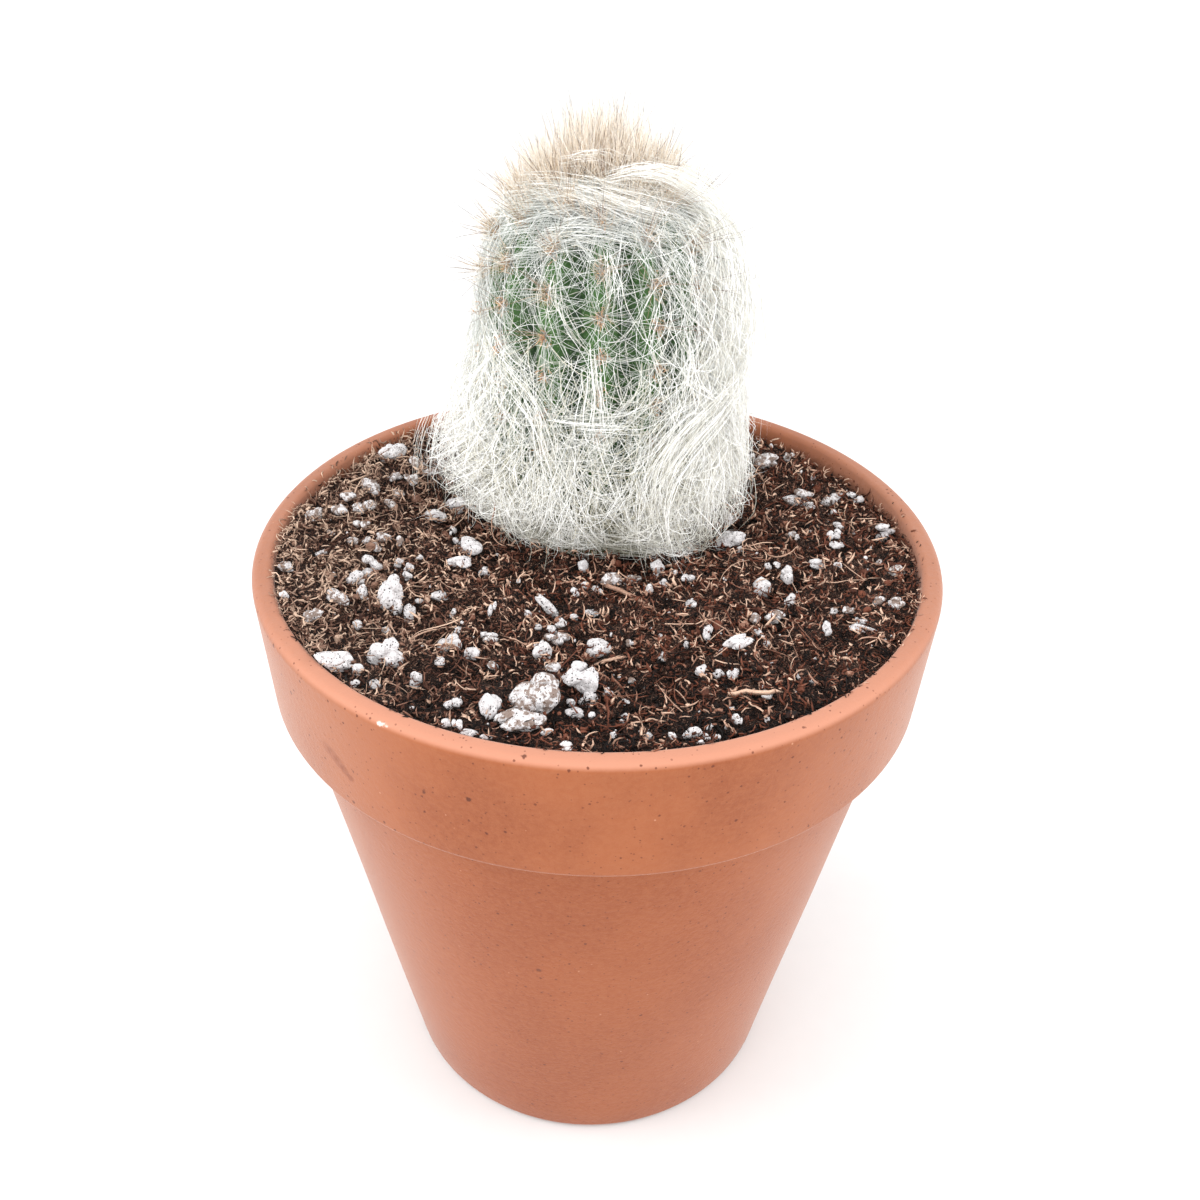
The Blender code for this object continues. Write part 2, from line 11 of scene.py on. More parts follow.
import bmesh
import bpy
import numpy as np
from mathutils import Matrix, Vector, noise


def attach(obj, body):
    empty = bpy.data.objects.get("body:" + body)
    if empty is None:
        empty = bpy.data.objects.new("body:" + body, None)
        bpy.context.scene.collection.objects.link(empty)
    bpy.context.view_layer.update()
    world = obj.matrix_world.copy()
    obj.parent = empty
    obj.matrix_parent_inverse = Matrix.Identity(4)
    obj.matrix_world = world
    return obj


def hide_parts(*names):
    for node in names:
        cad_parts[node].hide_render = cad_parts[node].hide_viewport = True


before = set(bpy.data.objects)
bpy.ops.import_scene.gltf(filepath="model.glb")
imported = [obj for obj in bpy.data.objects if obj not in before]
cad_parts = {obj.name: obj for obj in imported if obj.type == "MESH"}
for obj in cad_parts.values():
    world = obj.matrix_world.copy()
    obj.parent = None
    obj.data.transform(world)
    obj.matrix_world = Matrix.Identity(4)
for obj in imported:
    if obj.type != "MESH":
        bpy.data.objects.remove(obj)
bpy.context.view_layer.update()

MM = 0.001

# %% [markdown]
# ## The camera
#
# A photograph fixes where its camera stood. The two ellipses of the pot's rim and foot, and the slope of its
# wall, give the distance, the height and the lens. The camera is set first, because some grains on the soil
# are placed along its lines of sight. Its axes are worked out from three angles: how far it looks down, how far
# it turns to the right and how far it leans.

# %% Camera
PHOTO_SIDE = 1200
SENSOR = 36.0
LENS = 39.52
NEAREST_SEEN = 5 * MM
CAMERA_PLACE = Vector((0.44, -168.13, 203.77)) * MM
LOOK_DOWN = math.radians(34.474)
LOOK_RIGHT = math.radians(0.003)
LEAN = math.radians(1.374)


def camera_axes():
    """The camera's right, up and forward directions."""
    level = math.cos(LOOK_DOWN)
    forward = Vector((math.sin(LOOK_RIGHT) * level, math.cos(LOOK_RIGHT) * level, -math.sin(LOOK_DOWN)))
    right = forward.cross(Vector((0, 0, 1))).normalized()
    up = right.cross(forward)
    leaned_right = right * math.cos(LEAN) + up * math.sin(LEAN)
    return leaned_right, up * math.cos(LEAN) - right * math.sin(LEAN), forward


def in_scene(name, data):
    """A new object in the scene, made of that data."""
    made = bpy.data.objects.new(name, data)
    bpy.context.scene.collection.objects.link(made)
    return made


def make_camera():
    right, up, forward = camera_axes()
    lens = bpy.data.cameras.new("camera")
    lens.lens, lens.sensor_width, lens.clip_start = LENS, SENSOR, NEAREST_SEEN
    camera = in_scene("camera", lens)
    camera.matrix_world = Matrix.Translation(CAMERA_PLACE) @ Matrix((right, up, -forward)).transposed().to_4x4()
    bpy.context.scene.camera = camera


def sight_line(pixel_x, pixel_y):
    """The direction in which the camera sees a pixel of the 1200 by 1200 photograph."""
    right, up, forward = camera_axes()
    focal, half = PHOTO_SIDE * LENS / SENSOR, PHOTO_SIDE / 2
    return (forward + right * ((pixel_x - half) / focal) + up * ((half - pixel_y) / focal)).normalized()


make_camera()

# %% [markdown]
# ## The studio
#
# The pot stands on a white sheet in soft white light that comes from all round, as in a light tent. An even white
# world does most of that. Softboxes above and in front give the forms a little direction, and one on each side
# makes the edges of the pot paler than its middle. The floor is a plain disc, far wider than the view, so its edge
# never shows.

# %% Studio
FLOOR_RADIUS = 3.0
WORLD_STRENGTH = 1.3
AIM = Vector((0.0, 0.0, 0.1))
SOFTBOXES = (
    ("softbox_top", 4.4, 1.0, Vector((-0.3, -0.5, 1.15))),
    ("softbox_front", 6.0, 0.8, Vector((0.1, -1.2, 0.5))),
    ("softbox_left", 8.9, 0.8, Vector((-1.15, -0.1, 0.5))),
    ("softbox_right", 7.7, 0.8, Vector((1.15, -0.1, 0.5))),
)


def make_world():
    world = bpy.data.worlds.new("white_tent")
    world.use_nodes = True
    sky = world.node_tree.nodes["Background"].inputs
    sky["Color"].default_value = (1.0, 1.0, 1.0, 1.0)
    sky["Strength"].default_value = WORLD_STRENGTH
    bpy.context.scene.world = world
    bpy.context.scene.view_settings.view_transform = "Standard"


def make_softbox(name, power, size, place):
    light = bpy.data.lights.new(name, "AREA")
    light.energy, light.size = power, size
    lamp = in_scene(name, light)
    lamp.location = place
    lamp.rotation_euler = (AIM - place).to_track_quat("-Z", "Y").to_euler()


make_world()
for softbox in SOFTBOXES:
    make_softbox(*softbox)

# %% [markdown]
# ## Writing finishes as sums
#
# A finish is a small program of nodes. Wiring nodes by hand makes it hard to read, so two helpers come first.
# `Wire` stands for the output of a node, and the usual signs on it add Math nodes, or Vector Math nodes where it
# carries a vector. `Finish` is one material: its `node` method adds any node, sets its settings first and then
# its sockets, each from a number, a colour or a wire.

# %% Wires and finishes
def both_sides(operation):
    """The two methods of a sign: one for a wire on its left, and one for a wire on its right."""
    return (lambda wire, other: wire.sum_with(operation, wire, other),
            lambda wire, other: wire.sum_with(operation, other, wire))


class Wire:
    """The output of a node. The signs +, - and * on it add the node that does that sum."""

    def __init__(self, socket):
        self.socket = socket

    def sum_with(self, operation, first, second):
        kind = "ShaderNodeVectorMath" if self.socket.type == "VECTOR" else "ShaderNodeMath"
        made = self.socket.id_data.nodes.new(kind)
        made.operation = operation
        for place, value in enumerate((first, second)):
            connect(made.inputs[place], value)
        return Wire(made.outputs[0])

    __add__, __radd__ = both_sides("ADD")
    __sub__, __rsub__ = both_sides("SUBTRACT")
    __mul__, __rmul__ = both_sides("MULTIPLY")


def connect(socket, value):
    """Links a wire to the socket, or sets the socket to a number, colour or vector."""
    if isinstance(value, Wire):
        socket.id_data.links.new(value.socket, socket)
    elif socket.type == "RGBA" and len(value) == 3:
        socket.default_value = (*value, 1.0)
    else:
        socket.default_value = value


class Finish:
    """One material, built round a Principled shader whose plain values are given by name."""

    def __init__(self, name, **plain):
        self.material = bpy.data.materials.new(name)
        self.material.use_nodes = True
        self.tree = self.material.node_tree
        self.shader = self.tree.nodes["Principled BSDF"]
        for socket, value in plain.items():
            connect(self.shader.inputs[socket.replace("_", " ").title().replace("Ior", "IOR")], value)

    def node(self, kind, settings=None, sockets=None, output=0):
        """Adds a node. Settings come first, with stops for a ramp, then sockets by name or place."""
        made = self.tree.nodes.new("ShaderNode" + kind)
        for setting, value in (settings or {}).items():
            if setting == "stops":
                ramp = made.color_ramp.elements
                while len(ramp) < len(value):
                    ramp.new(0.5)
                for element, (position, colour) in zip(ramp, value):
                    element.position, element.color = position, (*colour, 1.0)
            else:
                setattr(made, setting, value)
        for socket, value in (sockets or {}).items():
            connect(made.inputs[socket], value)
        return Wire(made.outputs[output])

    def place(self):
        """Where the surface is, in metres."""
        return self.node("TexCoord", output=3)

    def axis(self, number):
        """Where the surface is along X, Y or Z, for a number of 0, 1 or 2."""
        return self.node("SeparateXYZ", None, {0: self.place()}, output=number)

    def stored(self, name):
        """A number that the mesh code stored at each vertex."""
        return self.node("Attribute", {"attribute_name": name}, output=2)

    def grain(self, size, detail=3.0, stretch=(1.0, 1.0, 1.0), rough=0.5, twist=0.0):
        """Soft noise from 0 to 1, with features of about that size in metres."""
        scaled = self.place() * tuple(1.0 / (size * s) for s in stretch)
        sockets = {"Vector": scaled, "Scale": 1.0, "Detail": detail, "Roughness": rough, "Distortion": twist}
        return self.node("TexNoise", None, sockets)

    def cells(self, size):
        """Distance from the nearest of many points scattered about that size apart. 1 is one size."""
        return self.node("TexVoronoi", None, {"Vector": self.place() * ((1.0 / size,) * 3), "Scale": 1.0})

    def chosen(self, cells, chance, channel=0, blur=0.04):
        """1 round the points whose random colour is over a chance, and 0 round the others."""
        kind = self.node("SeparateColor", None, {0: Wire(cells.socket.node.outputs["Color"])}, output=channel)
        return self.between(kind, chance, chance + blur)

    def distance_from(self, spot):
        """How far the surface is from a spot, in metres."""
        sockets = {0: self.place(), 1: tuple(spot)}
        return self.node("VectorMath", {"operation": "DISTANCE"}, sockets, output=1)

    def between(self, value, low, high, smooth=True):
        """0 where the value is under low and 1 where it is over high, or the other way round."""
        settings = {"interpolation_type": "SMOOTHSTEP" if smooth else "LINEAR", "clamp": True}
        flipped = low > high
        sockets = {0: value, 1: min(low, high), 2: max(low, high), 3: float(flipped), 4: float(not flipped)}
        return self.node("MapRange", settings, sockets)

    def mix(self, amount, first, second):
        """A colour between two, by an amount from 0 to 1."""
        return self.node("Mix", {"data_type": "RGBA"}, {0: amount, 6: first, 7: second}, output=2)

    def layered(self, colour, *layers):
        """The colour under layers of others, each laid on by an amount from 0 to 1."""
        for amount, tint in layers:
            colour = self.mix(amount, colour, tint)
        return colour

    def tones(self, amount, low, middle, high):
        """A colour from a ramp of three, by an amount from 0 to 1."""
        stops = [(0.0, low), (0.5, middle), (1.0, high)]
        return self.node("ValToRGB", {"stops": stops}, {0: self.between(amount, 0.0, 1.0, smooth=False)})

    def relief(self, height, depth):
        """Bumps of that depth in metres where the height goes from 0 to 1."""
        bump = self.node("Bump", None, {"Strength": 1.0, "Distance": depth, "Height": height})
        connect(self.shader.inputs["Normal"], bump)

    def paint(self, **wires):
        """The finished material, with wires for sockets of its shader."""
        for socket, wire in wires.items():
            connect(self.shader.inputs[socket.replace("_", " ").title()], wire)
        return self.material


def ink(red, green, blue):
    """A colour as seen on a screen, from 0 to 255, turned into the light that the shader works with."""
    return tuple(((c / 255 + 0.055) / 1.055) ** 2.4 if c > 10 else c / 255 / 12.92 for c in (red, green, blue))


# %% [markdown]
# ## Making meshes from arrays
#
# The coat is many thousands of hairs, and the mix is thousands of crumbs, so meshes are filled from arrays of
# numbers in one go. Each mesh can also carry a few numbers at every vertex, such as how far along its hair the
# vertex is, and the finish reads them to shade roots and tips.


def new_piece(name, mesh, material, node):
    """Adds the mesh as a piece that rides on the part and stands for a CAD node."""
    mesh.materials.clear()
    mesh.materials.append(material)
    piece = in_scene(name, mesh)
    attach(piece, "root")
    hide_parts(node)
    mesh.calc_loop_triangles()
    print(f"{name}: {len(mesh.loop_triangles)} triangles")


def filled_mesh(name, points, face_lists, stored=None, smooth=True):
    """A mesh from points (N, 3) and arrays of faces, each (M, 3) or (M, 4), with numbers stored at the points."""
    mesh = bpy.data.meshes.new(name)
    mesh.vertices.add(len(points))
    mesh.vertices.foreach_set("co", np.ascontiguousarray(points, np.float32).ravel())
    corners = np.concatenate([faces.ravel() for faces in face_lists]).astype(np.int32)
    sizes = np.concatenate([np.full(len(faces), faces.shape[1]) for faces in face_lists])
    starts = np.concatenate(([0], np.cumsum(sizes)[:-1])).astype(np.int32)
    mesh.loops.add(len(corners))
    mesh.loops.foreach_set("vertex_index", corners)
    mesh.polygons.add(len(sizes))
    mesh.polygons.foreach_set("loop_start", starts)
    for key, values in (stored or {}).items():
        layer = mesh.attributes.new(key, "FLOAT", "POINT")
        layer.data.foreach_set("value", np.ascontiguousarray(values, np.float32).ravel())
    mesh.update(calc_edges=True)
    mesh.polygons.foreach_set("use_smooth", np.full(len(sizes), smooth))
    return mesh


def loft(name, rings, first, last, stored=None):
    """A closed mesh through rings of points (K, N, 3), with one more point that closes it at either end."""
    count, sides, _ = rings.shape
    around = np.arange(sides)
    beside = (around + 1) % sides
    low, end = (count - 1) * sides, np.full(sides, count * sides)
    walls = [np.stack([k + around, k + sides + around, k + sides + beside, k + beside], axis=1)
             for k in range(0, low, sides)]
    caps = [np.stack([end, around, beside], axis=1), np.stack([end + 1, low + beside, low + around], axis=1)]
    points = np.concatenate([rings.reshape(-1, 3), [first, last]])
    return filled_mesh(name, points, [np.concatenate(walls), np.concatenate(caps)], stored)


def hump(value, middle, width):
    """1 where the value is at the middle, and down to 0 away from it, as a bell curve falls."""
    return np.exp(-(((value - middle) / width) ** 2))


def unit(vectors):
    """The vectors, each made 1 long."""
    return vectors / np.maximum(np.linalg.norm(vectors, axis=-1, keepdims=True), 1e-12)


def repeated(faces, count, step):
    """Faces of many equal parts, whose points follow each other a step apart."""
    return (faces[None] + np.arange(0, count * step, step)[:, None, None]).reshape(-1, faces.shape[1])


def strand_piece(name, rng, paths, thickness, tones, taper, material, node):
    """A piece of three-sided hairs along paths (N, K, 3), each narrowing from its root to a point at its tip.

    Each vertex stores its hair's tone, and how far along the hair it is.
    """
    count, steps, _ = paths.shape
    along = np.linspace(0.0, 1.0, steps)
    heading = unit(np.gradient(paths, axis=1))
    side = rng.normal(size=(count, 3))
    turn = np.radians([90.0, 210.0, 330.0])
    rings = np.empty((count, steps - 1, 3, 3))
    width = thickness[:, None] * (1 - (1 - taper) * along[None, :] ** 2)
    for k in range(steps - 1):
        side = unit(side - heading[:, k] * np.sum(side * heading[:, k], axis=1, keepdims=True))
        other = np.cross(heading[:, k], side)
        spokes = side[:, None] * np.cos(turn)[:, None] + other[:, None] * np.sin(turn)[:, None]
        rings[:, k] = paths[:, k, None] + spokes * width[:, k, None, None] / 2
    points = np.concatenate([rings.reshape(count, -1, 3), paths[:, -1:]], axis=1)
    per_hair = points.shape[1]
    here = np.arange(3 * (steps - 1)).reshape(-1, 3)
    beside = np.roll(here, -1, axis=1)
    walls = np.stack([here[:-1], beside[:-1], beside[1:], here[1:]], axis=-1).reshape(-1, 4)
    tips = np.stack([here[-1], beside[-1], np.full(3, per_hair - 1)], axis=1)
    faces = [repeated(part, count, per_hair) for part in (walls, np.concatenate([tips, [[2, 1, 0]]]))]
    numbers = {"along": np.tile(np.append(np.repeat(along[:-1], 3), 1.0), count), "tone": np.repeat(tones, per_hair)}
    new_piece(name, filled_mesh(name, points.reshape(-1, 3), faces, numbers), material, node)


def resampled(line, share):
    """Points at shares from 0 to 1 along a line of points (N, any)."""
    return np.stack([np.interp(share, np.linspace(0, 1, len(line)), column) for column in line.T], axis=-1)


def smooth_step(value):
    """0 below 0, 1 above 1, and a smooth rise between. It takes numbers or arrays."""
    t = np.clip(value, 0.0, 1.0)
    return t * t * (3 - 2 * t)


# %% [markdown]
# ## The clay pot
#
# The pot is thrown and turned, then fired without a glaze. Its outline is the CAD one with softer edges: a thick
# band with a rounded lip, and a wall that slopes to the foot. A Screw modifier turns the outline, and then small
# slow waves take it out of true by a tenth of a millimetre, as hand and kiln do.

# %% Pot shape
RIM_RADIUS = 51.0 * MM
POT_HEIGHT = 99.4 * MM
LIP_WIDTH = 3.0 * MM
BAND_HEIGHT = 20.0 * MM
BAND_FOOT_RADIUS = 49.7 * MM
WALL_TOP_RADIUS = 46.6 * MM
FOOT_RADIUS = 32.2 * MM
FLOOR_THICKNESS = 6.0 * MM
INNER_FLOOR_RADIUS = 27.5 * MM
DRAIN_RADIUS = 5.5 * MM
BAND_FOOT = POT_HEIGHT - BAND_HEIGHT
POT_SIDES = 144
OUTLINE_STEP = 5.0 * MM
WOBBLE = 0.12 * MM
WOBBLE_LENGTH = 30 * MM
SHARP_ANGLE = math.radians(50)
MERGE_DISTANCE = 0.00001


def rounded_corner(before, corner, after, radius, points):
    """Points of an arc that rounds a corner of an outline."""
    into, out = (before - corner).normalized(), (after - corner).normalized()
    half = into.angle(out) / 2
    centre = corner + (into + out).normalized() * (radius / math.sin(half))
    start = corner + into * (radius / math.tan(half)) - centre
    end = corner + out * (radius / math.tan(half)) - centre
    return [centre + start.slerp(end, i / (points - 1)) * radius for i in range(points)]


def straight(start, end):
    """Points between two others, without either, a step apart."""
    steps = max(1, round((end - start).length / OUTLINE_STEP))
    return [start.lerp(end, i / steps) for i in range(1, steps)]


def pot_outline():
    """The pot's outline, from corners given by radius, height, rounding and number of points."""
    corners = [
        (RIM_RADIUS, POT_HEIGHT, 1.3 * MM, 8),
        (BAND_FOOT_RADIUS, BAND_FOOT, 0.9 * MM, 7),
        (WALL_TOP_RADIUS, BAND_FOOT - 0.4 * MM, 0.4 * MM, 5),
        (FOOT_RADIUS, 0.0, 1.6 * MM, 8),
        (DRAIN_RADIUS, 0.0, 0.4 * MM, 3),
        (DRAIN_RADIUS, FLOOR_THICKNESS, 0.4 * MM, 3),
        (INNER_FLOOR_RADIUS, FLOOR_THICKNESS, 2.0 * MM, 5),
        (RIM_RADIUS - LIP_WIDTH, POT_HEIGHT, 0.9 * MM, 7),
    ]
    spots = [Vector((radius, 0.0, height)) for radius, height, _, _ in corners]
    arcs = [rounded_corner(spots[i - 1], spot, spots[(i + 1) % len(spots)], *corners[i][2:])
            for i, spot in enumerate(spots)]
    outline = []
    for arc, following in zip(arcs, arcs[1:] + arcs[:1]):
        outline += arc + straight(arc[-1], following[0])
    return outline


def turned(name, outline, sides):
    """A closed outline at +X, turned about Z with a Screw modifier."""
    mesh = bpy.data.meshes.new(name)
    mesh.from_pydata(outline, [(i, (i + 1) % len(outline)) for i in range(len(outline))], [])
    blank = in_scene(name, mesh)
    screw = blank.modifiers.new("Turn", "SCREW")
    screw.steps = screw.render_steps = sides
    screw.use_merge_vertices = True
    screw.merge_threshold = MERGE_DISTANCE
    graph = bpy.context.evaluated_depsgraph_get()
    made = bpy.data.meshes.new_from_object(blank.evaluated_get(graph))
    bpy.data.objects.remove(blank)
    return made


def outer_radius(height):
    """Radius of the wall, or of the band round its top."""
    if height > BAND_FOOT:
        return BAND_FOOT_RADIUS + (RIM_RADIUS - BAND_FOOT_RADIUS) * (height - BAND_FOOT) / BAND_HEIGHT
    return FOOT_RADIUS + (WALL_TOP_RADIUS - FOOT_RADIUS) * height / BAND_FOOT


def where_seen_on_pot(pixel_x, pixel_y):
    """The first point along the camera's line of sight through a pixel that lies in the clay."""
    spot, stride = CAMERA_PLACE.copy(), sight_line(pixel_x, pixel_y) * 0.05 * MM
    while spot.z > POT_HEIGHT or math.hypot(spot.x, spot.y) > outer_radius(spot.z):
        spot += stride
    return spot


def wobble_pot(mesh):
    """Takes the turned shape slightly out of true."""
    for vertex in mesh.vertices:
        place = vertex.co
        outward = Vector((place.x, place.y, 0.0)).normalized()
        wave = noise.noise(place / WOBBLE_LENGTH) * WOBBLE
        vertex.co = place + outward * wave * min(1.0, place.z / (5 * MM))
    mesh.shade_smooth()
    mesh.set_sharp_from_angle(angle=SHARP_ANGLE)


pot_mesh = turned("clay_pot", pot_outline(), POT_SIDES)
wobble_pot(pot_mesh)

# %% [markdown]
# ## Fired clay
#
# Bare terracotta isn't one orange. It is blotched where it dried unevenly, paler on its lip, most of all at the front,
# and dotted with small dark pits and pale grit. Each of these is a mask, and the colour is mixed through the masks
# in turn. Both sides are painted paler, a painted highlight for the side light on them, and the wall under the band
# is painted darker, a painted shade, with a thin painted highlight along the band's lower edge. A few marks stand
# where the photograph shows them: a white fleck, a smear that runs down the left of the band, and the larger pits.
# A little sheen stands for the dry dust that whitens the edges seen at a slant.

# %% Clay finish
FLECK = ink(236, 222, 214)
SMEAR = ink(112, 56, 34)
PIT = ink(72, 32, 22)
MARKS_SEEN = (
    (378, 724, 0.56, 0.8, FLECK), (381, 724, 0.56, 0.8, FLECK), (384, 725, 0.56, 0.8, FLECK),
    (388, 726, 0.5, 0.8, FLECK), (327, 747, 1.4, 0.25, SMEAR), (333, 754, 1.5, 0.3, SMEAR),
    (339, 762, 1.4, 0.35, SMEAR), (345, 770, 1.1, 0.45, SMEAR), (351, 778, 0.8, 0.5, SMEAR),
    (468, 799, 0.5, 0.8, PIT), (424, 792, 0.36, 0.7, PIT), (524, 756, 0.45, 0.8, PIT),
    (291, 693, 0.4, 0.7, PIT), (273, 646, 0.4, 0.7, PIT), (539, 970, 0.45, 0.6, PIT),
)
PITS_SCATTERED = ((2.1 * MM, 0.62, 0.12, 0.8), (1.3 * MM, 0.7, 0.15, 0.7), (0.8 * MM, 0.6, 0.2, 0.5))


def clay_finish():
    """The fired clay, and the layers of colour that lie over it."""
    clay = Finish("terracotta", sheen_weight=0.28, sheen_roughness=0.35, specular_ior_level=0.3)
    across, forward, height = (clay.axis(number) for number in range(3))
    patches = clay.grain(20 * MM, stretch=(1.0, 1.0, 1.4))
    mottle = clay.grain(0.9 * MM, detail=4.0, rough=0.75)
    # Painted shade: the wall under the band is painted darker than the band.
    wall = clay.between(height, BAND_FOOT + 1 * MM, BAND_FOOT - 1 * MM)
    aside = clay.node("Math", {"operation": "ABSOLUTE"}, {0: across})
    # Painted highlight: both sides of the pot are painted paler, for the side light that whitens them.
    painted_side_highlight = clay.between(aside, 16 * MM, 48 * MM) * (patches * 0.5 + 0.45)
    lip = clay.between(height, POT_HEIGHT - 1.1 * MM, POT_HEIGHT - 0.3 * MM)
    front = clay.between(forward, -10 * MM, -46 * MM)
    # Painted highlight: a thin pale line is painted along the band's lower edge.
    painted_band_edge_highlight = clay.between(height, BAND_FOOT - 0.5 * MM, BAND_FOOT - 0.1 * MM)
    painted_band_edge_highlight = painted_band_edge_highlight * clay.between(height, BAND_FOOT + 0.7 * MM, BAND_FOOT + 0.3 * MM)
    layers = [
        (wall * 0.5, ink(133, 65, 28)),
        (painted_side_highlight, ink(160, 114, 94)),
        (clay.between(mottle, 0.3, 0.7) * 0.4, ink(158, 98, 66)),
        (lip * (front * 0.75 + 0.12), ink(188, 131, 107)),
        (painted_band_edge_highlight * 0.3, ink(164, 104, 76)),
    ]
    for size, chance, reach, dark in PITS_SCATTERED:
        cells = clay.cells(size)
        pits = clay.between(cells + (mottle - 0.5) * 0.3, reach, reach * 0.6) * clay.chosen(cells, chance)
        layers.append((pits * dark, ink(88, 40, 26)))
    cells = clay.cells(2.6 * MM)
    grit = clay.between(cells, 0.07, 0.04) * clay.chosen(cells, 0.78, channel=1)
    layers.append((grit * 0.5, ink(196, 146, 118)))
    for pixel_x, pixel_y, radius, amount, mark in MARKS_SEEN:
        near = clay.distance_from(where_seen_on_pot(pixel_x, pixel_y)) + (mottle - 0.5) * 0.9 * MM
        layers.append((clay.between(near, radius * MM, radius * 0.5 * MM) * amount, mark))
    from_axis = clay.node("VectorMath", {"operation": "LENGTH"}, {0: clay.place() * (1.0, 1.0, 0.0)}, output=1)
    soil_stain_and_painted_shade = clay.between(from_axis, RIM_RADIUS - LIP_WIDTH + 0.5 * MM, RIM_RADIUS - LIP_WIDTH)
    soil_stain_and_painted_shade = soil_stain_and_painted_shade * clay.between(height, BAND_FOOT, BAND_FOOT + 4 * MM)
    soil_stain_and_painted_shade = soil_stain_and_painted_shade * clay.between(height - mottle * 3 * MM, POT_HEIGHT - 2.5 * MM, POT_HEIGHT - 4.5 * MM)
    layers.append((soil_stain_and_painted_shade * 0.5, ink(70, 42, 30)))
    clay.relief(mottle, 0.09 * MM)
    fired = clay.mix(clay.between(patches, 0.35, 0.65), ink(133, 71, 41), ink(148, 83, 49))
    return clay.paint(base_color=clay.layered(fired, *layers),
                      roughness=clay.between(mottle, 0.2, 0.8) * 0.12 + 0.78)


new_piece("clay_pot", pot_mesh, clay_finish(), "pot")

# %% [markdown]
# ## The bed of potting mix
#
# The mix fills the pot to a few millimetres under the lip. Its top rolls gently, dips round the stem and is
# crumbly all over. The bed is lofted from rings: a ring round the stem's hole widens, step by step, into the ring
# along the pot's wall, and further rings close it down the wall and under the stem. The height of the top is a
# sum of noises from coarse to fine.

# %% Mix bed
CLEARANCE = 0.3 * MM
SOIL_LEVEL = POT_HEIGHT - 3.4 * MM
SOIL_WAVE = 1.5 * MM
DIP_DEPTH = 1.4 * MM
DIP_START = 16.0 * MM
DIP_END = 32.0 * MM
STEM_CENTRE = Vector((-0.8, 20.0, 0.0)) * MM
STEM_BASE_RADIUS = 15.0 * MM
HOLE_RADIUS = STEM_BASE_RADIUS + 2 * CLEARANCE
BURIED_DEPTH = 9.0 * MM
BED_SINK = 0.8 * MM
BED_RINGS = 66
BED_SIDES = 180
EDGE_RISE = 1.5 * MM
FRONT_RISE = 0.9 * MM
LEFT_RISE = 0.6 * MM
HOLLOW_PLACE = Vector((7.0, -1.5, 0.0)) * MM
HOLLOW_DEPTH = 1.6 * MM
HOLLOW_REACH = 6.5 * MM
COARSE_LUMPS = 4.0 * MM
FINE_LUMPS = 1.4 * MM


def inner_radius(height):
    """Radius of the pot's inner wall."""
    rise = (height - FLOOR_THICKNESS) / (POT_HEIGHT - FLOOR_THICKNESS)
    return INNER_FLOOR_RADIUS + (RIM_RADIUS - LIP_WIDTH - INNER_FLOOR_RADIUS) * rise


def soil_height(x, y):
    """Height of the mix without its crumbs, as in the CAD model."""
    spot = Vector((x, y, 0.0))
    wave = noise.noise(spot / (17 * MM)) + 0.5 * noise.noise(Vector((x, y, 0.01)) / (7 * MM))
    dip = 1 - smooth_step(((spot - STEM_CENTRE).length - DIP_START) / (DIP_END - DIP_START))
    settled = smooth_step((RIM_RADIUS - math.hypot(x, y)) / (14 * MM))
    return SOIL_LEVEL + SOIL_WAVE * wave * settled * (1 - 0.8 * dip) - DIP_DEPTH * dip


def lumps_at(x, y):
    """Height of the lumps alone: coarse ones with finer ones on them."""
    spot = Vector((x, y, 0.0))
    coarse, fine = noise.noise(spot / COARSE_LUMPS), noise.noise(spot / FINE_LUMPS + Vector((7.0, 3.0, 1.0)))
    return 1.7 * MM * coarse + 1.0 * MM * fine


def bank(x, y):
    """How much higher the mix lies along the wall: most at the front and on the left."""
    front = smooth_step((18 * MM - y) / (25 * MM))
    return EDGE_RISE + FRONT_RISE * front - LEFT_RISE * x / RIM_RADIUS


def mix_top(x, y):
    """Height of the mix with its lumps. It rises towards the wall, and sinks before the stem's foot."""
    spot = Vector((x, y, 0.0))
    hollow = HOLLOW_DEPTH * hump((spot - HOLLOW_PLACE).length, 0, HOLLOW_REACH)
    edge = smooth_step((spot.length - 28 * MM) / (18 * MM))
    return soil_height(x, y) + edge * bank(x, y) + lumps_at(x, y) * (1 - 0.5 * edge) - hollow


def bed_ring(share, height=None):
    """One ring of the bed. Share is 0 round the stem's hole and 1 along the pot's wall."""
    ring = []
    for i in range(BED_SIDES):
        angle = math.tau * i / BED_SIDES
        out = Vector((math.cos(angle), math.sin(angle), 0.0))
        rim = SOIL_LEVEL + bank(*(out.xy * RIM_RADIUS))
        wall = inner_radius(rim if height is None else height) - CLEARANCE
        spot = (STEM_CENTRE + out * HOLE_RADIUS).lerp(out * wall, share)
        spot.z = mix_top(spot.x, spot.y) - BED_SINK if height is None else height
        ring.append(spot)
    return ring


def bed_mesh():
    floor = FLOOR_THICKNESS + CLEARANCE
    hole_bottom = SOIL_LEVEL - BURIED_DEPTH - 2 * CLEARANCE
    rings = [bed_ring(0.0, hole_bottom)]
    rings += [bed_ring(i / BED_RINGS) for i in range(BED_RINGS + 1)]
    rings += [bed_ring(1.0, height) for height in (0.6 * SOIL_LEVEL, floor)]
    return loft("mix_bed", np.array(rings), STEM_CENTRE + Vector((0, 0, hole_bottom)), (0.0, 0.0, floor))
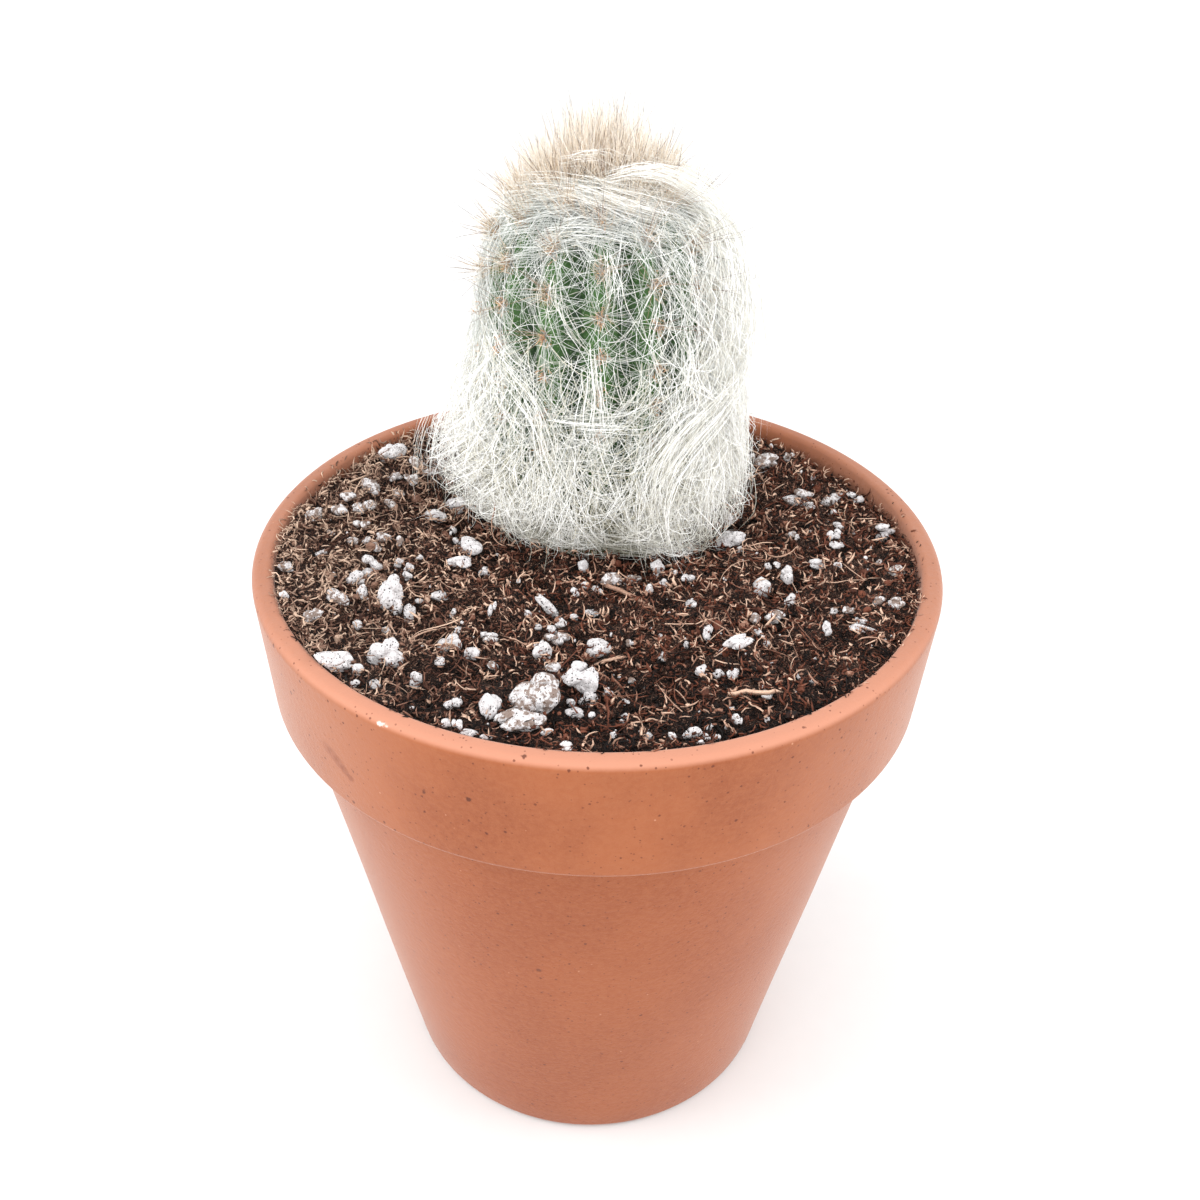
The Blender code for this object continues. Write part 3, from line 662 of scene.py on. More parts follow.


# %% [markdown]
# ## Coir, crumbs and bark
#
# The mix is mostly coir, the short brown fibres of a coconut husk, with crumbs of peat between them and a few
# longer strips of bark. Bump maps can't give such a surface its broken outline, so the bits are real meshes,
# scattered by a seeded rule, each sunk a little into the bed. All of them share one earthy finish that takes its
# tone from a number stored for each bit. The mix is drier, and so lighter and greyer, towards the left. Bits that
# lie higher or on the tops of lumps are lighter, a painted highlight, and those in hollows and at the front darker,
# a painted shade.

# %% Earth finishes
def earth_finish(name, dark, middle, light):
    earth = Finish(name, specular_ior_level=0.25)
    fine = earth.grain(0.4 * MM, rough=0.7)
    amount = earth.stored("tone") + (fine - 0.5) * 0.5
    dry = earth.between(earth.axis(0), -2 * MM, -44 * MM) * earth.between(amount, 0.1, 0.6)
    earth.relief(fine, 0.12 * MM)
    colour = earth.mix(dry * 0.4, earth.tones(amount, dark, middle, light), ink(184, 166, 147))
    return earth.paint(base_color=colour, roughness=fine * 0.15 + 0.6)


def bed_finish():
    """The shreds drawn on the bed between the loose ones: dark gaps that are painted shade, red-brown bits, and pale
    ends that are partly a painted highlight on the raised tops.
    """
    bed = Finish("mix_bed", specular_ior_level=0.3)
    shreds = bed.grain(0.55 * MM, rough=0.65, twist=2.2)
    stops = [(0.41, ink(9, 5, 4)), (0.49, ink(52, 28, 20)), (0.56, ink(106, 65, 48)), (0.66, ink(186, 148, 126))]
    colour = bed.node("ValToRGB", {"stops": stops}, {0: shreds})
    # Painted shade: the bed is painted darker towards the front, by the pot's wall.
    colour = bed.mix(bed.between(bed.axis(1), -14 * MM, -40 * MM) * 0.5, colour, ink(26, 15, 12))
    bed.relief(bed.between(shreds, 0.35, 0.65), 0.6 * MM)
    return bed.paint(base_color=colour, roughness=shreds * 0.2 + 0.6)


new_piece("mix_bed", bed_mesh(), bed_finish(), "soil")

# %% [markdown]
# Every scattered bit needs a spot on the mix that is inside the pot's wall and outside the stem's hole. Each lump
# then gets its own random size, turn and stretch, and each fibre its own heading and curl.

# %% Scattering on the mix
def spots_on_mix(rng, count, margin):
    """Random spots (count, 3) on the mix, at least a margin inside the wall and outside the stem."""
    reach = inner_radius(SOIL_LEVEL + EDGE_RISE) - margin
    found = []
    while len(found) < count:
        x, y = rng.uniform(-reach, reach, 2)
        off_stem = math.hypot(x - STEM_CENTRE.x, y - STEM_CENTRE.y)
        if math.hypot(x, y) < reach and off_stem > HOLE_RADIUS + margin:
            found.append((x, y, mix_top(x, y)))
    return np.array(found)


def dryness_and_painted_light(places):
    """How much lighter bits are: on the drier left and at the back, lighter on the tops of lumps, a painted highlight,
    and darker in their hollows and at the front, a painted shade.
    """
    # Painted light: bits on lump tops are lighter and those in hollows darker, and painted shade darkens bits at the
    # front.
    tops = np.array([lumps_at(x, y) for x, y in places[:, :2]]) / MM
    drier = smooth_step((-places[:, 0] / MM - 5) / 38) * 0.2 + smooth_step((places[:, 1] / MM - 5) / 40) * 0.1
    return drier + 0.3 * tops - 0.2 * smooth_step((-places[:, 1] / MM - 16) / 26)


def ball(detail):
    """Corners and faces of a ball made of triangles."""
    bm = bmesh.new()
    bmesh.ops.create_icosphere(bm, subdivisions=detail, radius=1.0)
    bm.verts.ensure_lookup_table()
    corners = np.array([vert.co[:] for vert in bm.verts])
    faces = np.array([[vert.index for vert in face.verts] for face in bm.faces])
    bm.free()
    return corners, faces


def broken_lumps(rng, count, detail, cuts=7, bumps=0.3):
    """Lumps (N, V, 3) about 1 in radius: balls with worn flat sides and soft bumps, as crushed stone has."""
    corners, faces = ball(detail)
    lumps = np.repeat(corners[None], count, axis=0)
    for _ in range(cuts):
        side = unit(rng.normal(size=(count, 3)))
        over = np.clip(np.einsum("nvk,nk->nv", lumps, side) - rng.uniform(0.55, 0.85, (count, 1)), 0, None)
        lumps = lumps - side[:, None] * over[..., None] * 0.85
    for wave in (1.6, 3.1):
        turn = rng.normal(size=(count, 3, 3)) * wave
        phase = rng.uniform(0, math.tau, (count, 1, 3))
        swell = np.sin(np.einsum("nvk,nkj->nvj", lumps, turn) + phase).mean(axis=2)
        lumps = lumps * (1 + bumps / wave * swell[..., None])
    return lumps / np.abs(lumps).max(axis=1, keepdims=True), faces


def lumps_piece(name, lumps, faces, material, tones=None, smooth=True):
    """A piece of all the lumps, each with its own tone where tones are given."""
    count, per_lump, _ = lumps.shape
    stored = None if tones is None else {"tone": np.repeat(tones, per_lump)}
    mesh = filled_mesh(name, lumps.reshape(-1, 3), [repeated(faces, count, per_lump)], stored, smooth)
    new_piece(name, mesh, material, "soil")


def turn_at_random(rng, lumps):
    """Turns each lump about an upright axis and then about a level one."""
    for pair in ([0, 1], [0, 2]):
        angle = rng.uniform(0, math.tau, (len(lumps), 1))
        first, second = lumps[..., pair[0]].copy(), lumps[..., pair[1]].copy()
        lumps[..., pair[0]] = first * np.cos(angle) - second * np.sin(angle)
        lumps[..., pair[1]] = first * np.sin(angle) + second * np.cos(angle)
    return lumps


def scattered_lumps(rng, count, sizes, margin, lift, stretch, detail, **kind):
    """Places (N, 3) on the mix, and lumps that lie there.

    Sizes are the shape and scale of a gamma curve, then the least and the most, in mm. Lift is a share of the
    size, and then mm.
    """
    radius = rng.gamma(*sizes[:2], count).clip(*sizes[2:]) * MM
    places = spots_on_mix(rng, count, margin * MM)
    places[:, 2] += radius * lift[0] + lift[1] * MM
    lumps, faces = broken_lumps(rng, count, detail, **kind)
    lumps = turn_at_random(rng, lumps * rng.uniform(*stretch, (count, 1, 3)))
    return places, lumps * radius[:, None, None] + places[:, None], faces


def lying_paths(rng, roots, lengths, steps, pitch, bend, lift):
    """Paths (N, steps, 3) of bits that lie on the mix at random headings and tilts."""
    heading = rng.uniform(0, math.tau, len(roots))
    rise = rng.normal(0, pitch, len(roots))
    curl = rng.normal(0, bend, len(roots))
    sway = rng.normal(0, bend * 0.6, len(roots))
    paths = np.empty((len(roots), steps, 3))
    spot = roots.copy()
    spot[:, 2] += lift
    step = (lengths / (steps - 1))[:, None]
    for k in range(steps):
        paths[:, k] = spot
        flat = np.cos(rise)
        spot = spot + step * np.stack([np.cos(heading) * flat, np.sin(heading) * flat, np.sin(rise)], 1)
        heading = heading + curl
        rise = rise + sway
    return paths


def kept_in_pot(paths):
    """The paths that stay inside the pot's wall and off the stem."""
    out = np.hypot(paths[..., 0], paths[..., 1]).max(axis=1) < RIM_RADIUS - LIP_WIDTH - CLEARANCE
    off = np.hypot(paths[..., 0] - STEM_CENTRE.x, paths[..., 1] - STEM_CENTRE.y).min(axis=1)
    return paths[out & (off > HOLE_RADIUS)]


# %% Crumbs and fibres
CRUMBS = 800
EDGE_FIBRES = 800
EDGE_REACH = (-2.5, 1.9)
earth = earth_finish("coir_and_peat", ink(14, 7, 5), ink(116, 65, 46), ink(222, 187, 163))


def make_crumbs():
    rng = np.random.default_rng(21)
    places, lumps, faces = scattered_lumps(rng, CRUMBS, sizes=(2.4, 0.16, 0.18, 0.9), margin=0.5, lift=(0.1, -0.2),
                                           stretch=(0.4, 1.2), detail=1)
    tones = rng.beta(1.4, 3.4, CRUMBS) + dryness_and_painted_light(places) * 0.6
    lumps_piece("mix_crumbs", lumps, faces, earth, tones, smooth=False)


def coir_piece(name, rng, paths, thickness, widest, darkness, extra=0.0):
    """A piece of fibres along paths. A larger darkness makes more of them dark."""
    widths = (thickness[0] + rng.gamma(1.6, thickness[1], len(paths))).clip(0, widest) * MM
    tones = rng.beta(0.75, darkness, len(paths)) + dryness_and_painted_light(paths[:, 0]) + extra
    strand_piece(name, rng, paths, widths, tones, 0.6, earth, "soil")


def make_fibres(name, seed, count, lengths, thickness, steps, pitch, bend):
    """Fibres all over the mix. Lengths are the least, the spread and the most, in mm."""
    rng = np.random.default_rng(seed)
    roots = spots_on_mix(rng, count, CLEARANCE)
    lengths = (lengths[0] + rng.gamma(2.0, lengths[1], count)).clip(0, lengths[2]) * MM
    lift = rng.uniform(-0.4, 0.6, count) * MM
    paths = kept_in_pot(lying_paths(rng, roots, lengths, steps, pitch, bend, lift))
    # Painted light: fibres that lie higher over the mix are lighter, and lower ones darker.
    above = np.array([z - mix_top(x, y) for x, y, z in paths[:, 1]])
    coir_piece(name, rng, paths, thickness, widest=0.5, darkness=1.25, extra=0.4 * above / MM - 0.1)


def make_edge_fibres():
    """Fibres that lie against the wall, with some over the lip, so that the mix has a ragged edge."""
    rng = np.random.default_rng(27)
    angle = rng.uniform(*EDGE_REACH, EDGE_FIBRES)
    reach = RIM_RADIUS - LIP_WIDTH - rng.gamma(1.3, 0.55, EDGE_FIBRES) * MM
    roots = np.array([(x, y, mix_top(x, y)) for x, y in zip(reach * np.sin(angle), -reach * np.cos(angle))])
    lengths = rng.uniform(0.7, 2.4, EDGE_FIBRES) * MM
    lift = rng.uniform(-0.1, 0.7, EDGE_FIBRES) * MM
    paths = lying_paths(rng, roots, lengths, steps=4, pitch=0.4, bend=0.6, lift=lift)
    out = np.hypot(paths[..., 0], paths[..., 1]) - (RIM_RADIUS - LIP_WIDTH)
    on_lip = POT_HEIGHT - LIP_WIDTH * (1 - smooth_step((out + 0.6 * MM) / (0.9 * MM))) + 0.1 * MM
    paths[..., 2] = np.maximum(paths[..., 2], on_lip)
    paths = paths[out.max(axis=1) < LIP_WIDTH * 0.3]
    coir_piece("coir_at_edge", rng, paths, thickness=(0.11, 0.05), widest=0.4, darkness=1.35)


make_crumbs()
make_edge_fibres()
make_fibres("coir_bits", 25, 7000, (0.4, 0.28, 1.8), (0.19, 0.07), steps=3, pitch=0.5, bend=0.9)
make_fibres("coir_curls", 22, 9000, (0.7, 0.42, 3.0), (0.14, 0.06), steps=4, pitch=0.55, bend=0.75)
make_fibres("coir_long", 23, 380, (3.0, 1.5, 10.0), (0.1, 0.05), steps=6, pitch=0.1, bend=0.3)

# %% [markdown]
# ## Placing bits where the photograph shows them
#
# Some bits stand out, and the eye looks for them. The camera's line of sight through a pixel meets the mix at one
# spot, so a bit can be given by its pixel and its size in pixels, and still lie on the mix. Strips of bark and
# twigs are given by their width in mm, their tone and the pixels along them.

# %% Bark and twigs
STRIPS_SEEN = (
    (0.75, 0.72, 603, 586, 622, 593, 640, 603, 657, 611), (0.9, 0.95, 729, 696, 747, 693, 765, 694, 783, 692),
    (0.5, 0.8, 600, 665, 613, 661, 627, 658), (0.3, 0.6, 639, 606, 648, 609, 657, 613),
    (0.22, 1, 665, 625, 690, 626, 706, 623, 719, 619), (0.28, 0.85, 722, 722, 729, 727, 735, 735),
    (0.35, 0.9, 748, 705, 757, 709, 764, 716), (0.4, 0.7, 761, 639, 769, 646, 777, 653),
    (0.5, 0.65, 508, 642, 520, 643, 534, 648, 541, 657), (0.35, 0.9, 589, 669, 604, 662, 622, 657),
    (0.45, 0.4, 605, 696, 607, 710, 609, 726), (0.2, 0.9, 802, 584, 828, 585, 855, 581, 882, 580),
    (0.3, 0.5, 455, 666, 470, 676, 476, 692), (0.25, 0.9, 394, 598, 412, 588, 430, 586),
    (0.2, 0.8, 500, 643, 515, 641, 530, 649), (0.25, 0.7, 668, 570, 680, 585, 692, 600),
    (0.3, 0.8, 690, 645, 700, 652, 706, 662), (0.25, 0.9, 630, 725, 652, 722, 668, 724),
)
ROOT_SEEN = (495, 505, 4.5, 493, 518, 3.5, 491, 531, 2.5, 493, 541, 2.0, 499, 546, 1.5, 507, 549, 0.5)
ROOT_WIDTH_AND_TONE = (0.28, 0.7)
STEPS_OF_STRIP = 8


def grouped(numbers, size):
    """The numbers in groups of two or three."""
    return [numbers[i:i + size] for i in range(0, len(numbers), size)]


def on_mix(pixel_x, pixel_y):
    """Where the camera's line of sight through a pixel meets the mix."""
    sight = sight_line(pixel_x, pixel_y)
    spot = CAMERA_PLACE + sight * ((SOIL_LEVEL - CAMERA_PLACE.z) / sight.z)
    for _ in range(4):
        spot = CAMERA_PLACE + sight * ((mix_top(spot.x, spot.y) - CAMERA_PLACE.z) / sight.z)
    return spot


def in_air(pixel_x, pixel_y, behind):
    """The point in the camera's line of sight through a pixel that is so many mm behind the pot's middle."""
    sight = sight_line(pixel_x, pixel_y)
    return CAMERA_PLACE + sight * ((behind * MM - CAMERA_PLACE.y) / sight.y)


def make_strips():
    rng = np.random.default_rng(24)
    lines = [[on_mix(*pixel) for pixel in grouped(pixels, 2)] for _, _, *pixels in STRIPS_SEEN]
    lines.append([in_air(*place) for place in grouped(ROOT_SEEN, 3)])
    paths = []
    for line in lines:
        path = resampled(np.array(line), np.linspace(0, 1, STEPS_OF_STRIP))
        paths.append(path + [0, 0, 0.35 * MM] + rng.normal(0, 0.1 * MM, path.shape))
    widths, tones = np.array([strip[:2] for strip in STRIPS_SEEN] + [ROOT_WIDTH_AND_TONE]).T
    strand_piece("bark_strips", rng, np.array(paths), widths * MM, tones, 0.75, earth, "soil")


make_strips()

# %% [markdown]
# ## Perlite
#
# The white grains are perlite, a glass foam: light, rounded and dotted with black specks. Those that stand out
# are placed as the photograph shows them. Each entry gives the pixel at a grain's middle, its width and height in
# pixels, and its lean in degrees if it leans. Some are clean and others dusty. Small grains are scattered by rule.

# %% Perlite grains
CLEAN_GRAINS = (
    (357, 625, 9, 11), (391, 597, 27, 46, -12), (409, 614, 12, 21, -10), (386, 630, 9, 7, 20), (449, 644, 25, 18, 20),
    (458, 630, 8, 7), (472, 654, 17, 14, 10), (453, 613, 7, 10), (492, 609, 8, 17, -10), (333, 661, 39, 22, -8),
    (358, 670, 13, 13), (385, 656, 37, 31, 20), (355, 684, 10, 9), (375, 684, 12, 10), (440, 661, 11, 10),
    (416, 680, 13, 17), (453, 704, 19, 14, -8), (490, 706, 23, 27), (581, 678, 36, 36, 20), (588, 700, 20, 18),
    (575, 713, 20, 13, -30), (571, 703, 10, 9), (599, 648, 26, 20), (543, 651, 19, 21, -20), (549, 608, 36, 11, -42),
    (592, 614, 15, 10), (574, 617, 9, 7), (538, 627, 7, 7), (561, 623, 13, 11), (608, 693, 11, 10, -40),
    (592, 717, 8, 11), (547, 732, 13, 8), (614, 734, 7, 6), (566, 746, 13, 11), (446, 723, 11, 10), (457, 725, 11, 12),
    (469, 733, 19, 8, -5), (486, 737, 13, 6), (436, 516, 23, 13, -20), (457, 506, 22, 21, 30), (453, 530, 8, 9),
    (470, 546, 25, 21, 10), (459, 562, 25, 13), (483, 572, 12, 10, 20), (371, 567, 23, 21, -20), (355, 578, 18, 15, 10),
    (362, 592, 12, 16), (284, 595, 9, 9), (399, 563, 11, 10), (409, 567, 11, 9), (408, 576, 10, 10), (439, 596, 18, 11),
    (393, 453, 29, 19, 18), (358, 625, 10, 10), (583, 566, 11, 14), (575, 592, 10, 10), (585, 585, 8, 7),
    (597, 590, 12, 9), (657, 569, 18, 19, -40), (664, 583, 10, 9), (688, 578, 14, 11, 30), (691, 603, 9, 10),
    (730, 540, 32, 20, 10), (768, 566, 7, 7), (777, 565, 8, 7), (788, 575, 16, 18, -30), (762, 587, 18, 21),
    (790, 600, 13, 12, 20), (708, 633, 11, 17), (738, 642, 31, 15, 22), (758, 632, 9, 8), (722, 651, 8, 7),
    (686, 645, 7, 8, -40), (701, 670, 12, 12), (719, 674, 13, 10, -20), (733, 674, 13, 12), (626, 702, 8, 7),
    (737, 719, 11, 11), (732, 709, 7, 5), (767, 719, 6, 7), (692, 733, 21, 12, 15), (707, 737, 8, 8), (701, 742, 8, 5),
    (717, 737, 8, 6), (613, 735, 7, 6, -40), (885, 532, 23, 18, 10), (817, 564, 17, 11), (863, 629, 28, 8, -12),
    (827, 629, 12, 14, -30), (862, 622, 11, 6, -10), (834, 535, 15, 11, 20), (838, 526, 12, 8), (837, 545, 15, 8),
    (855, 498, 17, 13), (690, 604, 10, 9), (457, 541, 9, 7),
)
DUSTY_GRAINS = (
    (312, 615, 21, 12, 25), (491, 638, 17, 11), (536, 697, 54, 40, 30), (520, 720, 54, 25, 5), (493, 667, 12, 13),
    (557, 639, 26, 14, -5), (553, 667, 16, 10), (371, 487, 23, 15, -30), (396, 477, 13, 10), (411, 480, 14, 12),
    (399, 494, 13, 10), (348, 497, 17, 10), (365, 507, 25, 13, 15), (340, 510, 17, 12, -20), (315, 515, 19, 13, 20),
    (390, 504, 12, 9, -20), (416, 462, 14, 11), (430, 472, 17, 8), (384, 537, 15, 11), (367, 541, 10, 10),
    (353, 541, 12, 9, 20), (400, 541, 8, 11), (376, 547, 12, 10), (365, 525, 10, 8), (357, 524, 8, 8), (331, 533, 8, 6),
    (338, 597, 25, 14, -15), (285, 567, 17, 11), (321, 553, 12, 8), (611, 580, 21, 15), (632, 580, 21, 12, 12),
    (723, 520, 20, 22), (766, 461, 26, 16, 10), (750, 458, 11, 9), (789, 457, 11, 9), (798, 498, 31, 18, -12),
    (811, 506, 11, 9), (832, 500, 25, 14, 5), (775, 617, 22, 15), (755, 618, 12, 11, 10), (897, 571, 18, 12),
    (838, 565, 9, 6), (879, 601, 15, 10, 15), (897, 603, 17, 12), (849, 610, 13, 8), (834, 611, 9, 7), (630, 643, 9, 8),
    (662, 657, 11, 11), (632, 681, 8, 7), (642, 731, 7, 6), (879, 562, 6, 6), (792, 535, 11, 8),
)
GRAIN_LIFT = 0.35
SMALL_GRAINS = 190


def perlite_finish(name, dust):
    perlite = Finish(name, specular_ior_level=0.3)
    dent_and_painted_shade = perlite.grain(0.6 * MM, detail=4.0, rough=0.7)
    # Painted shade: the grains are painted greyer in their dents and whiter on their tops.
    glass = perlite.mix(perlite.between(dent_and_painted_shade, 0.3, 0.6), ink(178, 172, 172), ink(230, 227, 228))
    layers = []
    for size, chance in ((0.55 * MM, 0.5), (0.33 * MM, 0.55)):
        cells = perlite.cells(size)
        specks = perlite.between(cells, 0.28, 0.18) * perlite.chosen(cells, chance, blur=0.05)
        layers.append((specks * 0.95, ink(38, 34, 36)))
    stain = perlite.between(perlite.grain(0.9 * MM, detail=4.0, rough=0.65), 0.64 - dust, 0.72 - dust)
    layers.append((stain * 0.8, ink(112, 84, 64)))
    perlite.relief(dent_and_painted_shade, 0.55 * MM)
    return perlite.paint(base_color=perlite.layered(glass, *layers), roughness=dent_and_painted_shade * 0.1 + 0.85)


def puffed(rng, count, detail, parts):
    """Grains (N, V, 3) of a few lumps grown together, as hot perlite puffs up."""
    lumps, faces = broken_lumps(rng, count * parts, detail, bumps=0.45)
    sizes = rng.uniform(0.4, 0.68, (count * parts, 1, 1))
    aside = unit(rng.normal(size=(count * parts, 1, 3))) * (1 - sizes)
    grown = (lumps * sizes + aside).reshape(count, -1, 3)
    joined = np.concatenate([faces + part * lumps.shape[1] for part in range(parts)])
    low, high = grown.min(axis=1, keepdims=True), grown.max(axis=1, keepdims=True)
    return (2 * grown - low - high) / (high - low), joined


def make_seen_grains(name, seed, grains, widths, finish, detail, parts):
    """Grains with widths in a range of pixels, built along the camera's own axes so that their outlines match."""
    chosen = [grain for grain in grains if widths[0] <= max(grain[2:4]) < widths[1]]
    rng = np.random.default_rng(seed)
    lumps, faces = puffed(rng, len(chosen), detail, parts)
    camera_right, camera_up, camera_forward = (np.array(axis) for axis in camera_axes())
    placed = []
    for lump, (pixel_x, pixel_y, wide, tall, *lean) in zip(lumps, chosen):
        spot = on_mix(pixel_x, pixel_y)
        sight = (spot - CAMERA_PLACE).normalized()
        to_metres = (spot - CAMERA_PLACE).length * SENSOR / LENS / PHOTO_SIDE / 2
        half = np.array([wide, tall, 0.9 * min(wide, tall)]) * to_metres
        centre = spot - sight * (GRAIN_LIFT * half[1] / -sight.z)
        turn = math.radians(sum(lean))
        across = camera_right * math.cos(turn) + camera_up * math.sin(turn)
        upward = camera_up * math.cos(turn) - camera_right * math.sin(turn)
        placed.append((lump * half) @ np.array([across, upward, -camera_forward]) + np.array(centre))
    lumps_piece(name, np.array(placed), faces, finish)


def make_small_grains(finish):
    rng = np.random.default_rng(32)
    _, lumps, faces = scattered_lumps(rng, SMALL_GRAINS, sizes=(2.0, 0.14, 0.14, 0.8), margin=1.2, lift=(0.2, 0.0),
                                      stretch=(0.55, 1.2), detail=2, cuts=9, bumps=0.6)
    lumps_piece("perlite_small", lumps, faces, finish)


clean_perlite = perlite_finish("clean_perlite", 0.0)
dusty_perlite = perlite_finish("dusty_perlite", 0.17)
make_seen_grains("perlite_large", 31, CLEAN_GRAINS, (24, 99), clean_perlite, detail=3, parts=5)
make_seen_grains("perlite_middle", 33, CLEAN_GRAINS, (0, 24), clean_perlite, detail=2, parts=3)
make_seen_grains("perlite_dusty", 34, DUSTY_GRAINS, (0, 40), dusty_perlite, detail=2, parts=3)
make_seen_grains("perlite_stained", 36, DUSTY_GRAINS, (40, 99), dusty_perlite, detail=3, parts=9)
make_small_grains(clean_perlite)

# %% [markdown]
# ## The stem
#
# A column cactus stores water in a barrel with ribs, which opens and closes like an accordion. The line over the
# crests of the ribs is the same as in the CAD model, and the valleys between them are drawn in by a cosine. Each
# rib swells a little under every areole, the small cushion that spines and hairs grow from. The areoles follow
# the plant's own rule: each is eight ribs on from the last and a thirteenth of a step further down, which winds
# them into spirals.

# %% Stem measures
STEM_RADIUS = 16.8 * MM
BELLY_HEIGHT = 122.0 * MM
STEM_TOP = 147.6 * MM
SHOULDER_POWER = 2.8
BURIED_RADIUS = 10.0 * MM
WOOL_FOOT = 95.6 * MM
RIBS = 13
RIB_STEP = 8
RIB_DEPTH = 2.2 * MM
RIB_TURN = math.radians(-5.3)
AREOLE_PITCH = 5.9 * MM
FIRST_AREOLE = 1.6 * MM
CENTRE = np.array(STEM_CENTRE)
DOME_POINTS = 400
SIDE_POINTS = 80


def body_radius(height):
    """Radius over the crests below the belly."""
    rise = np.clip((height - SOIL_LEVEL) / (BELLY_HEIGHT - SOIL_LEVEL), 0.0, 1.0)
    return STEM_BASE_RADIUS + (STEM_RADIUS - STEM_BASE_RADIUS) * np.sin(rise * math.pi / 2)


def crest_line():
    """Columns of distance down from the apex, radius, height and tilt of the surface, along the crests."""
    angle = np.linspace(math.pi / 2, 0.0, DOME_POINTS)
    radius = STEM_RADIUS * np.clip(np.cos(angle), 0, 1) ** (2 / SHOULDER_POWER)
    height = BELLY_HEIGHT + (STEM_TOP - BELLY_HEIGHT) * np.clip(np.sin(angle), 0, 1) ** (2 / SHOULDER_POWER)
    lower = np.linspace(BELLY_HEIGHT, WOOL_FOOT - BURIED_DEPTH, SIDE_POINTS)[1:]
    radius = np.concatenate([radius, body_radius(lower)])
    height = np.concatenate([height, lower])
    walked = np.concatenate([[0.0], np.cumsum(np.hypot(np.diff(radius), np.diff(height)))])
    slope = np.arctan2(np.gradient(radius), -np.gradient(height))
    return walked, radius, height, slope


CREST_DOWN, CREST_RADIUS, CREST_HEIGHT, CREST_TILT = crest_line()
STEM_LENGTH = float(np.interp(-WOOL_FOOT, -CREST_HEIGHT, CREST_DOWN))


def crest(down):
    """(radius, height, tilt) of the crest line at distances down from the apex."""
    return tuple(np.interp(down, CREST_DOWN, line) for line in (CREST_RADIUS, CREST_HEIGHT, CREST_TILT))


def round_stem(angle, radius, height):
    """Points at a radius from the stem's axis."""
    return CENTRE + np.stack([radius * np.sin(angle), -radius * np.cos(angle), height + 0 * angle], axis=-1)


def off_stem(angle, down, gap):
    """Points at a gap from the crests. Angle 0 faces the front, -Y, and grows towards +X."""
    radius, height, tilt = crest(down)
    return round_stem(angle, radius + gap * np.cos(tilt), height + gap * np.sin(tilt))


def find_areoles():
    """(angle, down) of each areole, the youngest first."""
    leaf = np.arange(int(RIBS * STEM_LENGTH / AREOLE_PITCH))
    down = FIRST_AREOLE + AREOLE_PITCH / RIBS * leaf
    angle = math.tau * (leaf * RIB_STEP % RIBS) / RIBS + RIB_TURN + math.pi / 2
    shown = down < STEM_LENGTH - 1.5 * MM
    return angle[shown], down[shown]


def at_areoles(first, end, each):
    """(number, angle, down) of the areoles in a range, every one so many times."""
    number = np.repeat(np.arange(first, end), each)
    return number, AREOLE_ANGLE[number], AREOLE_DOWN[number]


AREOLE_ANGLE, AREOLE_DOWN = find_areoles()
print(len(AREOLE_DOWN), "areoles over", round(STEM_LENGTH / MM, 1), "mm of stem")

# %% Stem shape
STEM_SIDES = RIBS * 10
STEM_RINGS = 66
SWELL = 0.55 * MM


def stem_mesh():
    """The ribbed stem, from rings down from its apex. Each vertex stores how deep in a valley it lies."""
    down = np.linspace(0.3 * MM, STEM_LENGTH + 3 * MM, STEM_RINGS)[:, None]
    angle = (math.tau * np.arange(STEM_SIDES) / STEM_SIDES + RIB_TURN + math.pi / 2)[None]
    radius, height, tilt = crest(down)
    valley = ((1 - np.cos(RIBS * (angle - RIB_TURN - math.pi / 2))) / 2) ** 1.4
    shown = smooth_step((height - SOIL_LEVEL) / (4 * MM))
    depth = RIB_DEPTH * shown * np.clip(radius / (0.8 * STEM_RADIUS), 0, 1)
    swell = np.zeros(np.broadcast_shapes(down.shape, angle.shape))
    for areole_angle, areole_down in zip(AREOLE_ANGLE, AREOLE_DOWN):
        aside = (np.mod(angle - areole_angle + math.pi, math.tau) - math.pi) * np.maximum(radius, 2 * MM)
        swell += np.exp(-((aside / (1.6 * MM)) ** 2) - ((down - areole_down) / (1.9 * MM)) ** 2)
    radius = radius + swell * SWELL * np.cos(tilt) - valley * depth - 0.25 * MM
    rows = round_stem(angle, radius, height + swell * SWELL * np.sin(tilt))
    foot = round_stem(angle, BURIED_RADIUS, SOIL_LEVEL - BURIED_DEPTH)
    top, bottom = CENTRE + [0, 0, STEM_TOP - 0.2 * MM], CENTRE + [0, 0, SOIL_LEVEL - BURIED_DEPTH]
    flat = np.concatenate([np.broadcast_to(valley, swell.shape).ravel(), np.zeros(STEM_SIDES + 2)])
    return loft("stem_flesh", np.concatenate([rows, foot]), top, bottom, {"valley": flat})


def flesh_finish():
    flesh = Finish("green_flesh", specular_ior_level=0.35)
    mottle = flesh.grain(1.6 * MM, detail=4.0, rough=0.65)
    # Painted shade: the flesh is painted darker the deeper it lies in a valley between the ribs.
    green = flesh.mix(flesh.stored("valley"), ink(58, 97, 44), ink(18, 42, 20))
    corky = flesh.between(flesh.axis(2), 108 * MM, 97 * MM)
    flesh.relief(mottle, 0.12 * MM)
    return flesh.paint(roughness=mottle * 0.2 + 0.45, base_color=flesh.layered(
        green,
        (flesh.between(mottle, 0.4, 0.75) * 0.5, ink(84, 120, 66)),
        (flesh.between(flesh.cells(0.55 * MM), 0.3, 0.12) * 0.3, ink(150, 178, 124)),
        (corky * 0.7, ink(118, 112, 84)),
    ))


new_piece("stem_flesh", stem_mesh(), flesh_finish(), "stem")

